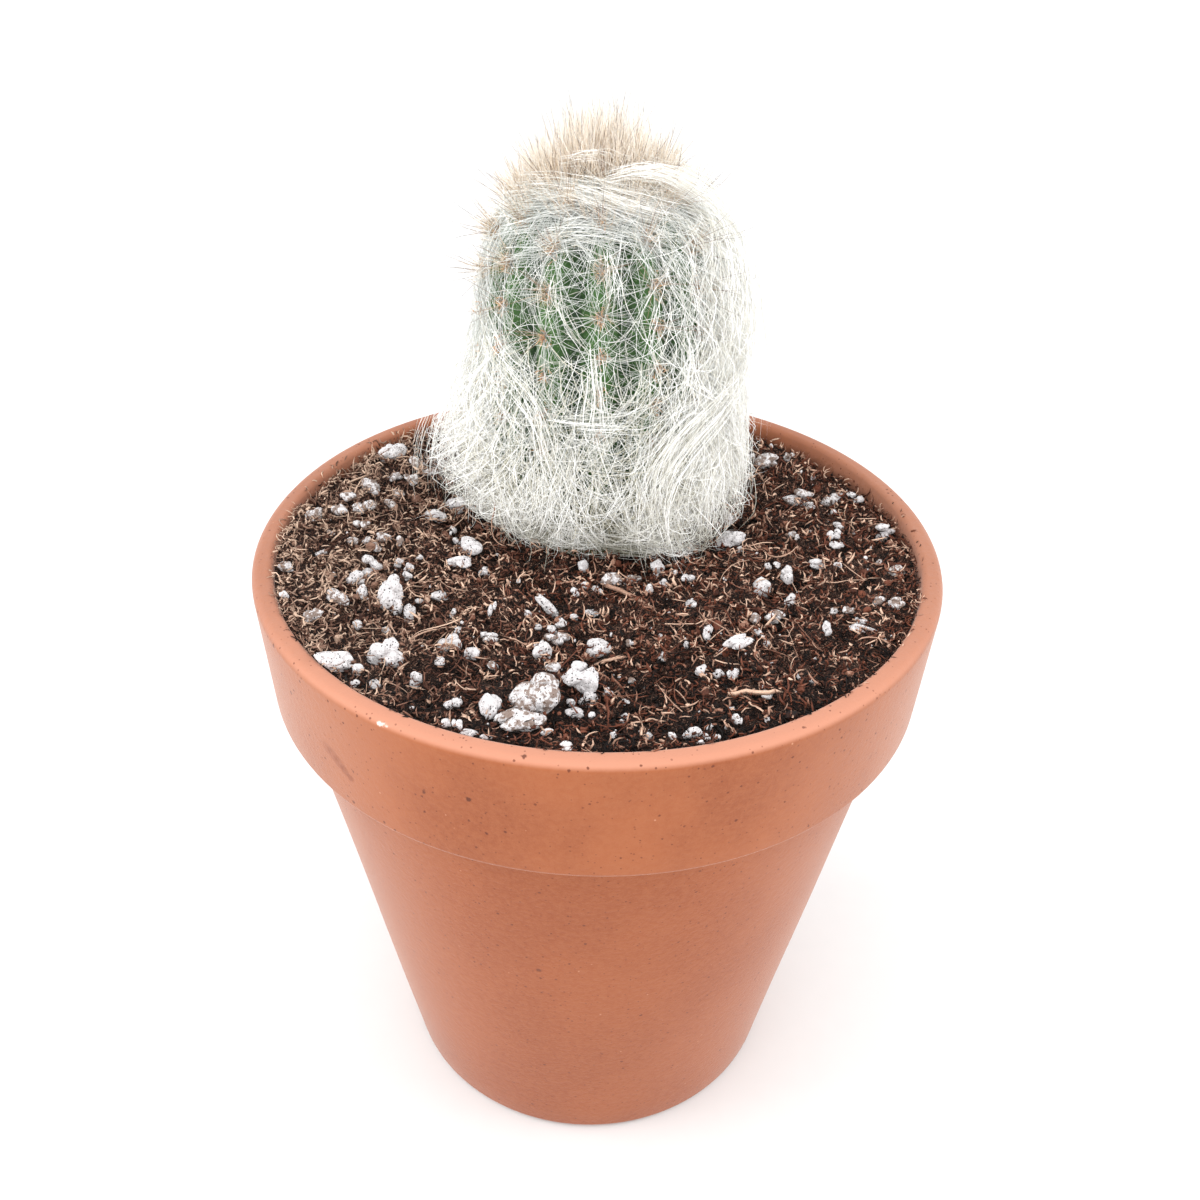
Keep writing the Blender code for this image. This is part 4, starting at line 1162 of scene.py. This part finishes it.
# %% [markdown]
# ## How thick the coat is
#
# All hair is grown over the stem in the stem's own terms: an angle round it, a distance down it and a gap off it.
# The coat's outer face is the same rule as in the CAD model: a full skirt low down that flares to the left, and a
# sheet of hair that stands off the right side. A slow, repeatable swirl, made of a few sines, bends neighbouring
# hairs the same way, so that they gather into locks.

# %% Coat rules
COAT_DEPTH = 2.0 * MM
SKIRT_DEPTH = 3.6 * MM
LEFT_FLARE = 4.0 * MM
RIGHT_SHEET = 4.0 * MM
BULGE = 3.2 * MM
HOLLOW = 1.4 * MM
FRAYING = 1.2 * MM
SCATTER_ROUND, SCATTER_DOWN = 977, 131


def in_front(angle, place, width):
    """1 at a place round the stem, in radians from the front, and 0 away from it."""
    from_front = np.mod(angle + math.pi, math.tau) - math.pi
    return hump(from_front, place, width)


def coat_depth(angle, down):
    """How far the wool stands off the crests."""
    rise = (crest(down)[1] - WOOL_FOOT) / (STEM_TOP - WOOL_FOOT)
    left, right = np.clip(-np.sin(angle), 0, 1), np.clip(np.sin(angle), 0, 1)
    depth = COAT_DEPTH + SKIRT_DEPTH * hump(rise, 0.12, 0.25)
    depth = depth + left * LEFT_FLARE * (1 - smooth_step((rise - 0.2) / 0.5))
    low = 1 - smooth_step((rise - 0.05) / 0.4)
    depth = depth + low * (BULGE * in_front(angle, 0.8, 0.36) - HOLLOW * in_front(angle, -0.75, 0.4))
    return depth + right * (0.5 + 0.6 * hump(rise, 0.62, 0.33)) * RIGHT_SHEET


WINDOW_ANGLE = -0.12
WINDOW_DOWN = 30 * MM


def window(angle, down):
    """1 over the bare part of the front, where the green shows, and 0 away from it."""
    return np.exp(-(((angle - WINDOW_ANGLE) / 0.95) ** 4) - ((down - WINDOW_DOWN) / (12 * MM)) ** 4)


def tuck(angle, down):
    """Draws the coat in where it meets the mix, but hardly on the right of the front, where it spills over it."""
    amount = 0.55 - 0.4 * in_front(angle, 0.8, 0.4)
    return 1 - amount * smooth_step((down - (STEM_LENGTH - 6 * MM)) / (6 * MM))


def swirl(angle, down, seed, waves=(1, 2, 3, 5)):
    """A smooth, repeatable value of about -1 to 1 that varies round the stem and down it."""
    rng = np.random.default_rng(seed)
    total = np.zeros(np.broadcast_shapes(np.shape(angle), np.shape(down)))
    for wave in waves:
        phase, slant = rng.uniform(0, math.tau), rng.uniform(-1, 1) * wave / (14 * MM)
        total = total + np.sin(wave * angle + slant * down + phase) / math.sqrt(wave)
    return total / 1.7


def grow(angle, down, heading, length, steps, gap, bend):
    """Paths that walk over the stem. A heading of 0 runs to the right round it, and 90 degrees runs down it.

    gap and bend are functions of the share walked, the angle and the distance down. The paths end at different
    heights over the mix, which frays the coat's lower edge.
    """
    points = []
    step = length / (steps - 1)
    scatter = np.sin(angle * SCATTER_ROUND + down / MM * SCATTER_DOWN)
    lowest = STEM_LENGTH + 0.2 * MM - FRAYING * (scatter + 0.6 * swirl(angle, down, 15, (11, 19, 31)))
    for k in range(steps):
        share = k / (steps - 1)
        off = gap(share, angle, down)
        points.append(off_stem(angle, down, off))
        reach = np.maximum(crest(down)[0] + off, 3 * MM)
        angle = angle + np.cos(heading) * step / reach
        down = np.clip(down + np.sin(heading) * step, 1.0 * MM, lowest)
        heading = heading + bend(share, angle, down)
    return np.stack(points, axis=1)


# %% [markdown]
# ## Hair
#
# Each hair is a thin three-sided tube. It is nearly white, a little cream low down where the wool is old, and it
# scatters light, so its finish is matt with a soft sheen. Just over the mix, patches of it are painted olive and
# darker, a painted shade where the coat meets the mix. Light also passes through such thin hairs, and a low glow
# of their own colour, which is painted light, stands for that. The number stored for each hair shifts its tone
# between a shaded and a bright colour. The fine hair higher up the coat is a greyer copy, a painted shade.

# %% Hair finish
def hair_finish(name, shaded, bright, glow):
    hair = Finish(name, roughness=0.6, specular_ior_level=0.4, sheen_weight=0.4, sheen_roughness=0.5,
                  emission_strength=glow)
    tone = hair.stored("tone") * 0.7 + hair.grain(3 * MM) * 0.3
    low = hair.between(hair.axis(2), WOOL_FOOT + 9 * MM, WOOL_FOOT + 0.5 * MM)
    # Painted shade: just over the mix, patches of hair are painted olive and darker.
    soil_stain_and_painted_shade = low * hair.between(hair.grain(5 * MM), 0.36, 0.6)
    clean = hair.mix(hair.between(tone, 0.1, 0.7), shaded, bright)
    colour = hair.mix(soil_stain_and_painted_shade * 0.65, clean, ink(126, 120, 86))
    return hair.paint(base_color=colour, emission_color=colour)


white_hair = hair_finish("white_hair", ink(213, 210, 197), ink(255, 255, 253), 0.07)
# Painted shade: a greyer copy of the white hair, for the fine hair higher up the coat.
grey_painted_shade_hair = hair_finish("grey_painted_shade_hair", ink(190, 194, 188), ink(228, 230, 227), 0.0)
# The cream hair is cream as old wool is, and painted darker too, a painted shade deep in the skirt.
cream_hair = hair_finish("cream_hair", ink(160, 154, 120), ink(246, 242, 226), 0.02)


def hair_piece(name, paths, thickness, rng, material, lock=0.0):
    """A piece of hairs. Hairs in one lock share a tone, given as a lock value for each hair."""
    widths = rng.uniform(0.75, 1.25, len(paths)) * thickness
    tones = rng.uniform(0, 1, len(paths)) + lock
    strand_piece(name, rng, paths, widths, tones, 0.35, material, "wool")


def grown_hairs(name, rng, places, heading, gap, turning, length, steps, thickness, material, flow=None):
    """A piece of hairs from places (angle, down) on the stem, each turning at random, and with a flow if given.

    Length is a range in mm, and thickness is in mm.
    """
    count = len(heading)
    turn = rng.normal(0, turning, count)
    paths = grow(*places, heading, rng.uniform(*length, count) * MM, steps, gap,
                 lambda share, angle, down: turn + (flow(angle, down) if flow else 0.0))
    hair_piece(name, paths, thickness * MM, rng, material)


# %% [markdown]
# The skirt is the oldest wool. Its hairs lean on each other in locks that run down, swirl and tuck in again at the
# mix. They are grown in two layers: an inner one that closes the view of the stem, and an outer one that gives
# the locks. The inner layer is cream and painted darker, a painted shade. On the right of the front, the whole
# flow turns down to the left and then curls round. It is thinner along a parting near the middle of the front.
# Locks that stand out are painted brighter, a painted highlight, and the parting is painted darker, a painted shade.

# %% Skirt
INNER_HAIRS = 2300
OUTER_HAIRS = 3900
SKIRT_REACH = 32 * MM
WHORL_ANGLE = 0.75
PARTING_ANGLE = 0.22


def skirt_gap(share_of_depth, wobble):
    """Rises from the root to its share of the coat's depth, and tucks in at the mix."""
    def gap(share, angle, down):
        root = 0.15 + 0.85 * smooth_step(share / 0.4)
        lumpy = 1 + 0.14 * swirl(angle, down, 5, (4, 6, 9)) + 0.12 * np.sin(share * 9 + wobble)
        return coat_depth(angle, down) * tuck(angle, down) * share_of_depth * root * lumpy
    return gap


def whorl_share(angle, down):
    """1 in the middle of the whorl on the right of the front, and 0 away from it."""
    low = smooth_step((down - (STEM_LENGTH - 30 * MM)) / (10 * MM))
    return hump(angle, WHORL_ANGLE, 0.42) * low


def parting(angle, down):
    """1 where the skirt parts near the middle of the front, and 0 away from it."""
    level = np.minimum((down - (STEM_LENGTH - 16 * MM)) / (9 * MM), 0.9)
    return in_front(angle, PARTING_ANGLE, 0.28) * hump(level, 0, 1)


def skirt_bend(curl):
    """Turns the hairs with their locks and their own curl, and round the whorl at the foot."""
    def bend(share, angle, down):
        locks = 0.3 * swirl(angle, down, 6, (3, 5, 8, 11))
        foot = smooth_step((down - (STEM_LENGTH - 9 * MM)) / (7 * MM))
        return locks + curl - 0.5 * whorl_share(angle, down) * foot
    return bend


def make_skirt(name, seed, count, material, steps, shares, thickness):
    """One layer of the skirt. Shares say between which shares of the coat's depth its hairs lie."""
    rng = np.random.default_rng(seed)
    angle = rng.uniform(-math.pi, math.pi, count)
    down = STEM_LENGTH - 1 * MM - SKIRT_REACH * rng.uniform(0, 1, count) ** 1.1
    kept = rng.uniform(0, 1, count) > 0.7 * window(angle, down) + 0.5 * parting(angle, down)
    angle, down = angle[kept], down[kept]
    count = len(angle)
    heading = math.pi / 2 + 0.6 * swirl(angle, down, 7, (2, 3, 5)) + rng.normal(0, 0.55, count)
    heading = heading + 0.65 * whorl_share(angle, down)
    length = rng.uniform(6, 16, count) * MM
    gap = skirt_gap(rng.uniform(*shares, count), rng.uniform(0, math.tau, count))
    paths = grow(angle, down, heading, length, steps, gap, skirt_bend(rng.normal(0, 0.25, count)))
    # Painted light and shade: hairs are painted brighter where their locks stand out, and darker along the parting.
    lock = 0.6 * swirl(angle, down + length / 2, 5, (4, 6, 9)) + 0.25 - 0.7 * parting(angle, down + length / 2)
    hair_piece(name, paths, thickness, rng, material, lock)


make_skirt("skirt_inner", 41, INNER_HAIRS, cream_hair, steps=6, shares=(0.15, 0.72), thickness=0.13 * MM)
make_skirt("skirt_outer", 42, OUTER_HAIRS, white_hair, steps=7, shares=(0.6, 1.1), thickness=0.1 * MM)

# %% [markdown]
# Higher up the coat is young and thin. Every areole below the crown throws out a star of fine straight hairs, and
# long hairs are combed down over them in a loose net. It is thinnest at the front, so the green shows through
# there. Over the front of the shoulder a third set lies level, like hair combed across a forehead.

# %% Stars, net and comb
STAR_HAIRS = 34
FIRST_STAR = 17
NET_HAIRS = 2150
COMB_HAIRS = 500


def dome_height(reach):
    """Height of the crest line over the shoulder, that far from the stem's axis."""
    return np.interp(reach, CREST_RADIUS[:DOME_POINTS], CREST_HEIGHT[:DOME_POINTS])


def make_stars():
    rng = np.random.default_rng(43)
    _, angle, down = at_areoles(FIRST_STAR, len(AREOLE_DOWN), STAR_HAIRS)
    count = len(angle)
    heading = rng.uniform(0, math.tau, count)
    peak = rng.uniform(0.5, 2.2, count) * MM
    grown_hairs("areole_stars", rng, (angle, down), heading,
                lambda share, a, d: 0.25 * MM + peak * np.sin(share * math.pi * 0.75),
                turning=0.06, length=(4, 9.5), steps=5, thickness=0.065, material=grey_painted_shade_hair)


def make_net():
    rng = np.random.default_rng(44)
    angle = rng.uniform(-math.pi, math.pi, NET_HAIRS)
    down = rng.uniform(9 * MM, STEM_LENGTH - 20 * MM, NET_HAIRS)
    kept = rng.uniform(0, 1, NET_HAIRS) > 0.93 * window(angle, down + 4 * MM)
    angle, down = angle[kept], down[kept]
    count = len(angle)
    heading = math.pi / 2 + rng.normal(0, 0.75, count)
    share_of_depth = rng.uniform(0.2, 1.0, count)
    grown_hairs("upper_net", rng, (angle, down), heading,
                lambda share, a, d: 0.3 * MM + coat_depth(a, d) * share_of_depth * math.sin(share * 2.6 + 0.25),
                turning=0.1, length=(6, 17), steps=6, thickness=0.08, material=grey_painted_shade_hair,
                flow=lambda a, d: 0.2 * swirl(a, d, 8, (2, 3, 5, 7)))


def make_comb():
    rng = np.random.default_rng(48)
    share = np.linspace(-1, 1, 7)
    each = (COMB_HAIRS, 1)
    before, aside, half = (rng.uniform(*reach, each) * MM for reach in ((6, 13.5), (-9, 9), (3, 7)))
    slope, lift = rng.normal(0.2, 0.35, each), rng.uniform(0.4, 2.6, each) * MM
    across = aside + half * share
    towards = before + slope * half * share
    height = dome_height(np.hypot(aside, before)) - 1.4 * MM * (half * share / (8 * MM)) ** 2
    height = np.maximum(height, dome_height(np.hypot(across, towards))) + lift
    paths = CENTRE * [1, 1, 0] + np.stack([across, -towards, height], axis=-1)
    hair_piece("shoulder_comb", paths, 0.072 * MM, rng, grey_painted_shade_hair)


make_stars()
make_net()
make_comb()

# %% [markdown]
# On the right the hair hangs as a sheet that stands off the stem. It is densest at the side and thins out towards
# the front, so that it has no edge.

# %% Right sheet
SHEET_HAIRS = 1700


def make_sheet():
    rng = np.random.default_rng(45)
    angle = 1.45 + rng.normal(0, 0.42, SHEET_HAIRS)
    down = rng.uniform(10 * MM, STEM_LENGTH - 12 * MM, SHEET_HAIRS)
    heading = math.pi / 2 + 0.2 * smooth_step((down - 20 * MM) / (16 * MM)) + rng.normal(0, 0.4, SHEET_HAIRS)
    depth = rng.uniform(0.45, 1.1, SHEET_HAIRS)
    grown_hairs("right_sheet", rng, (angle, down), heading,
                lambda share, a, d: coat_depth(a, d) * tuck(a, d) * depth * (0.3 + 0.7 * smooth_step(share / 0.4)),
                turning=0.12, length=(7, 19), steps=7, thickness=0.1, material=white_hair,
                flow=lambda a, d: 0.25 * swirl(a, d, 9, (3, 5, 8)))


make_sheet()

# %% [markdown]
# ## Streaks
#
# Here and there a bundle of hairs lies close together and catches the light as one white streak. Those that stand
# out in the photograph are given by their number of hairs, their width in mm and the pixels along them. Most lie on
# the coat: the line of sight through each pixel is followed until it meets the coat. A few hang in the air over the
# crown and beside the coat, and for those each pixel also has a distance in mm behind the pot's middle. Streaks on
# the hidden side are made by a rule.

# %% Streaks
STREAKS_SEEN = (
    (50, 0.8, 519, 208, 553, 203, 586, 205, 616, 213, 652, 226, 692, 236),
    (20, 0.9, 530, 251, 552, 241, 584, 241, 616, 251, 648, 265), (12, 0.6, 604, 255, 609, 275, 610, 296, 606, 330),
    (12, 1, 566, 258, 557, 290, 562, 315, 576, 336, 590, 352), (18, 1.5, 487, 300, 496, 330, 515, 358, 541, 378),
    (26, 1.1, 591, 337, 594, 376, 595, 399, 591, 422, 598, 458, 611, 477),
    (24, 1.4, 548, 414, 591, 420, 620, 417, 650, 414), (30, 1.6, 474, 340, 466, 390, 461, 430, 458, 470),
    (26, 1.3, 500, 360, 527, 384, 548, 416, 549, 449, 579, 495, 609, 518),
    (110, 2.2, 758, 345, 715, 395, 682, 422, 655, 455, 645, 495, 659, 535, 688, 551),
    (34, 1.4, 732, 412, 699, 461, 692, 511, 705, 544), (40, 1.5, 736, 400, 731, 450, 726, 490, 716, 517),
    (20, 1.2, 536, 452, 544, 484, 538, 512, 549, 541), (20, 1.1, 600, 513, 612, 495, 627, 477),
    (20, 1.2, 508, 470, 518, 503, 534, 528), (50, 1.8, 742, 262, 749, 310, 748, 350, 738, 385),
)
STREAKS_IN_AIR = (
    (110, 0.9, 602, 180, 9, 625, 171, 9, 652, 167, 9, 682, 180, 11, 705, 196, 14, 725, 213, 17, 738, 236, 19, 747, 266,
     20, 752, 296, 20, 758, 332, 20),
    (45, 1.3, 526, 181, 12, 559, 181, 10, 586, 187, 8.5, 612, 199, 7.5, 632, 208, 7, 659, 213, 8, 685, 221, 10, 718,
     246, 14), (14, 0.5, 554, 161, 9, 573, 158, 9, 592, 154, 9, 612, 160, 9, 632, 167, 9),
    (60, 1.9, 700, 175, 20, 728, 205, 20, 744, 250, 20, 752, 300, 20, 758, 350, 20, 756, 400, 19, 748, 450, 18),
    (30, 1.8, 462, 372, 20, 446, 400, 20, 434, 440, 19, 436, 480, 18, 446, 512, 17),
    (14, 2.2, 745, 290, 21, 768, 340, 21, 775, 375, 21, 762, 425, 20),
)
HIDDEN_STREAKS = 12
STREAK_STEPS = 8
NEAREST_COAT, FARTHEST_COAT, SIGHT_POINTS = 0.12, 0.26, 1400


def on_coat(pixel_x, pixel_y):
    """(angle, down) where the camera's line of sight through a pixel meets the coat's outer face."""
    sight = sight_line(pixel_x, pixel_y)
    reach = np.linspace(NEAREST_COAT, FARTHEST_COAT, SIGHT_POINTS)
    spots = np.array(CAMERA_PLACE) + reach[:, None] * np.array(sight) - CENTRE
    out = np.hypot(spots[:, 0], spots[:, 1])
    angle = np.arctan2(spots[:, 0], -spots[:, 1])
    on_dome = CREST_HEIGHT[::-1]
    down = np.interp(spots[:, 2], on_dome, CREST_DOWN[::-1])
    face = np.interp(spots[:, 2], on_dome, CREST_RADIUS[::-1]) + 0.6 * coat_depth(angle, down)
    hit = int(np.argmax(out < face)) if (out < face).any() else int(np.argmin(out - face))
    return angle[hit], down[hit]


def soft_line(points, count=24):
    """A line through points (N, any), resampled evenly and rounded."""
    line = resampled(np.array(points), np.linspace(0, 1, count))
    for _ in range(6):
        line[1:-1] = 0.25 * line[:-2] + 0.5 * line[1:-1] + 0.25 * line[2:]
    return line


def bundle(rng, guide, hairs, width):
    """Hairs (hairs, steps, 3) that share a course, each a little aside of it and frizzed."""
    start, end = rng.uniform(0, 0.4, hairs), rng.uniform(0.6, 1.0, hairs)
    share = start[:, None] + (end - start)[:, None] * np.linspace(0, 1, STREAK_STEPS)
    course = resampled(guide, share)
    aside = rng.normal(0, width * MM, (hairs, 1, 3)) * (0.5 + share[..., None])
    return course + aside + np.cumsum(rng.normal(0, 0.14 * MM, course.shape), axis=1)


def coat_guide(line):
    """Points on the coat's outer face for (angle, down) along a line."""
    return off_stem(line[:, 0], line[:, 1], 0.85 * coat_depth(*line.T) * tuck(*line.T))


def hidden_guides(rng):
    """Courses on the far side: they start at random and wander down."""
    for _ in range(HIDDEN_STREAKS):
        angle, down = rng.uniform(2.2, 4.1), rng.uniform(10, STEM_LENGTH / MM - 24) * MM
        steps = rng.normal(0, 0.16, 5).cumsum()
        fall = np.linspace(0, rng.uniform(14, 24) * MM, 5)
        yield np.stack([angle + steps, down + fall], axis=1)


def make_streaks():
    rng = np.random.default_rng(46)
    bundles = []
    for hairs, width, *pixels in STREAKS_SEEN:
        guide = coat_guide(soft_line([on_coat(*pixel) for pixel in grouped(pixels, 2)]))
        bundles.append(bundle(rng, guide, hairs, width))
    for line in hidden_guides(rng):
        bundles.append(bundle(rng, coat_guide(soft_line(line)), 34, 0.9))
    hair_piece("white_streaks", np.concatenate(bundles), 0.09 * MM, rng, white_hair)


def make_wisps():
    rng = np.random.default_rng(49)
    bundles = [bundle(rng, soft_line([in_air(*place) for place in grouped(places, 3)]), hairs, width)
               for hairs, width, *places in STREAKS_IN_AIR]
    hair_piece("loose_wisps", np.concatenate(bundles), 0.05 * MM, rng, white_hair)


make_streaks()
make_wisps()

# %% [markdown]
# A coat with a clean edge looks like plastic. Fine stray hairs break its outline all round, some of them long and
# curled, and a few lie out over the mix.

# %% Stray hairs
STRAY_HAIRS = 1300


def make_strays():
    rng = np.random.default_rng(47)
    angle = rng.uniform(0, math.tau, STRAY_HAIRS)
    down = rng.uniform(6 * MM, STEM_LENGTH - 1 * MM, STRAY_HAIRS)
    start = coat_depth(angle, down) * tuck(angle, down) * rng.uniform(0.5, 0.95, STRAY_HAIRS)
    out = rng.gamma(2.0, 0.8, STRAY_HAIRS) * MM * (0.7 + 0.9 * np.abs(np.sin(angle)))
    grown_hairs("stray_hairs", rng, (angle, down), rng.uniform(0, math.tau, STRAY_HAIRS),
                lambda share, a, d: start + out * share**1.3,
                turning=0.35, length=(4, 10), steps=5, thickness=0.07, material=white_hair)


make_strays()

# %% [markdown]
# ## Areoles, bristles and spines
#
# An areole is a small felted cushion, orange-tan on this plant. Cream bristles stand in it, and at the crown,
# where growth is new, they stand so close that they make one blond tuft. A few thin spines are dark at the tip.
# The finish goes from root to tip by the number that says how far along the hair the vertex is.

# %% Bristles
TUFT_BRISTLES = 3850
PLUME_SHARE = 0.16
TUFT_REACH = 11.5 * MM
SIDE_LENGTH = 6.6 * MM
PLUME_LENGTH = 9.0 * MM
PLUME_REACH = 4.6 * MM
HALO_BRISTLES = 76
HALO_AREOLES = (12, 52)
DARK_SPINES = 10
SPINY_AREOLES = 60
FELT_HAIRS = 30
FELT_AREOLES = (8, 100)


def bristle_finish(name, root, middle, tip):
    bristle = Finish(name, roughness=0.5, specular_ior_level=0.4, sheen_weight=0.3)
    along = bristle.stored("along") + bristle.stored("tone") * 0.4 - 0.2
    return bristle.paint(base_color=bristle.tones(along, root, middle, tip))


def level_out(angle):
    """Level directions away from the stem's axis."""
    return np.stack([np.sin(angle), -np.cos(angle), 0 * angle], axis=-1)


def outward_from(angle, down):
    """Directions straight out of the stem's surface."""
    tilt = crest(down)[2]
    return level_out(angle) * np.cos(tilt)[:, None] + np.array([0.0, 0.0, 1.0]) * np.sin(tilt)[:, None]


def bristle_piece(name, rng, roots, direction, length, thickness, material, bow=0.05, steps=3):
    """Bristles from roots along directions, bowed a little."""
    share = np.linspace(0, 1, steps)[None, :, None]
    side = unit(np.cross(direction, rng.normal(size=direction.shape)))
    sag = side[:, None] * (share * (1 - share)) * length[:, None, None] * bow * 4
    paths = roots[:, None] + direction[:, None] * length[:, None, None] * share + sag
    widths = rng.uniform(*thickness, len(paths)) * MM
    tones = rng.uniform(0, 1, len(paths))
    strand_piece(name, rng, paths, widths, tones, 0.25, material, "stem")


def make_tuft(blond):
    rng = np.random.default_rng(51)
    angle = rng.uniform(0, math.tau, TUFT_BRISTLES)
    share = rng.uniform(0, 1, TUFT_BRISTLES) ** 0.6
    plume = rng.uniform(0, 1, TUFT_BRISTLES) < PLUME_SHARE
    share = np.where(plume, share * 0.35, share)
    down = 0.4 * MM + TUFT_REACH * share
    lean = level_out(angle) * (0.95 * share**1.3)[:, None] + rng.normal(0, 0.2, (TUFT_BRISTLES, 3))
    for axis, seed in ((0, 11), (1, 12)):
        lean[:, axis] += 0.26 * swirl(angle, 3 * down, seed, (3, 5, 8))
    length = SIDE_LENGTH + PLUME_LENGTH * hump(down, 0, PLUME_REACH)
    length = length * rng.uniform(0.45, 1.08, TUFT_BRISTLES)
    bristle_piece("crown_tuft", rng, off_stem(angle, down, 0), unit(lean + [0, 0, 1]), length,
                  (0.04, 0.07), blond, bow=0.22, steps=4)


def make_halo(cream):
    rng = np.random.default_rng(52)
    number, angle, down = at_areoles(*HALO_AREOLES, HALO_BRISTLES)
    young = 1 - smooth_step((number - HALO_AREOLES[0]) / 45)
    direction = outward_from(angle, down) + [0, 0, 1] * (0.6 * young + 0.1)[:, None]
    direction = unit(direction + rng.normal(0, 0.45, direction.shape))
    roots = off_stem(angle, down, 0) + rng.normal(0, 0.9 * MM, direction.shape)
    reach = (4.4 + 6.2 * young) * (1 - 0.62 * in_front(angle, 0.0, 0.8)) * MM
    length = reach * rng.uniform(0.45, 1.0, len(number))
    bristle_piece("shoulder_halo", rng, roots, direction, length, (0.045, 0.07), cream)


def make_dark_spines(dark):
    rng = np.random.default_rng(53)
    number, angle, down = at_areoles(0, SPINY_AREOLES, DARK_SPINES)
    lift = 1.1 - smooth_step(number / 40)[:, None]
    direction = unit(outward_from(angle, down) + [0, 0, 1] * lift + rng.normal(0, 0.4, (len(number), 3)))
    length = rng.uniform(5.5, 10.0, len(number)) * MM + 5.0 * MM * hump(down, 0, 7 * MM)
    bristle_piece("dark_spines", rng, off_stem(angle, down, 0), direction, length, (0.065, 0.095), dark, steps=4)


def make_felt(tan):
    rng = np.random.default_rng(54)
    number, angle, down = at_areoles(*FELT_AREOLES, FELT_HAIRS)
    outward = outward_from(angle, down)
    roots = off_stem(angle, down, 0.3 * MM) + rng.normal(0, 0.42 * MM, outward.shape) * [1, 1, 1.7]
    direction = unit(outward + rng.normal(0, 0.45, outward.shape))
    length = rng.uniform(0.8, 1.9, len(number)) * MM
    bristle_piece("areole_felt", rng, roots, direction, length, (0.13, 0.22), tan)


make_tuft(bristle_finish("blond_bristles", ink(184, 147, 106), ink(239, 223, 200), ink(253, 250, 245)))
make_halo(bristle_finish("cream_bristles", ink(210, 178, 138), ink(230, 212, 186), ink(246, 238, 224)))
make_dark_spines(bristle_finish("dark_tipped_spines", ink(222, 198, 164), ink(122, 88, 66), ink(38, 25, 23)))
make_felt(bristle_finish("orange_felt", ink(198, 144, 100), ink(216, 170, 126), ink(234, 206, 172)))

# %% [markdown]
# ## The floor, and the finish of the lesson
#
# The floor is staging.

# %% Floor
FLOOR_GAP = 0.05 * MM


def floor_finish():
    paper = Finish("white_paper", roughness=0.9, specular_ior_level=0.1)
    fibre = paper.grain(4 * MM, detail=2.0)
    return paper.paint(base_color=paper.mix(fibre, (0.69, 0.69, 0.69), (0.71, 0.71, 0.71)))


def make_floor():
    bm = bmesh.new()
    bmesh.ops.create_circle(bm, cap_ends=True, segments=128, radius=FLOOR_RADIUS)
    mesh = bpy.data.meshes.new("white_floor")
    bm.to_mesh(mesh)
    bm.free()
    mesh.materials.append(floor_finish())
    floor = in_scene("white_floor", mesh)
    floor.location.z = -FLOOR_GAP


make_floor()

# %% Finish
bpy.context.view_layer.update()
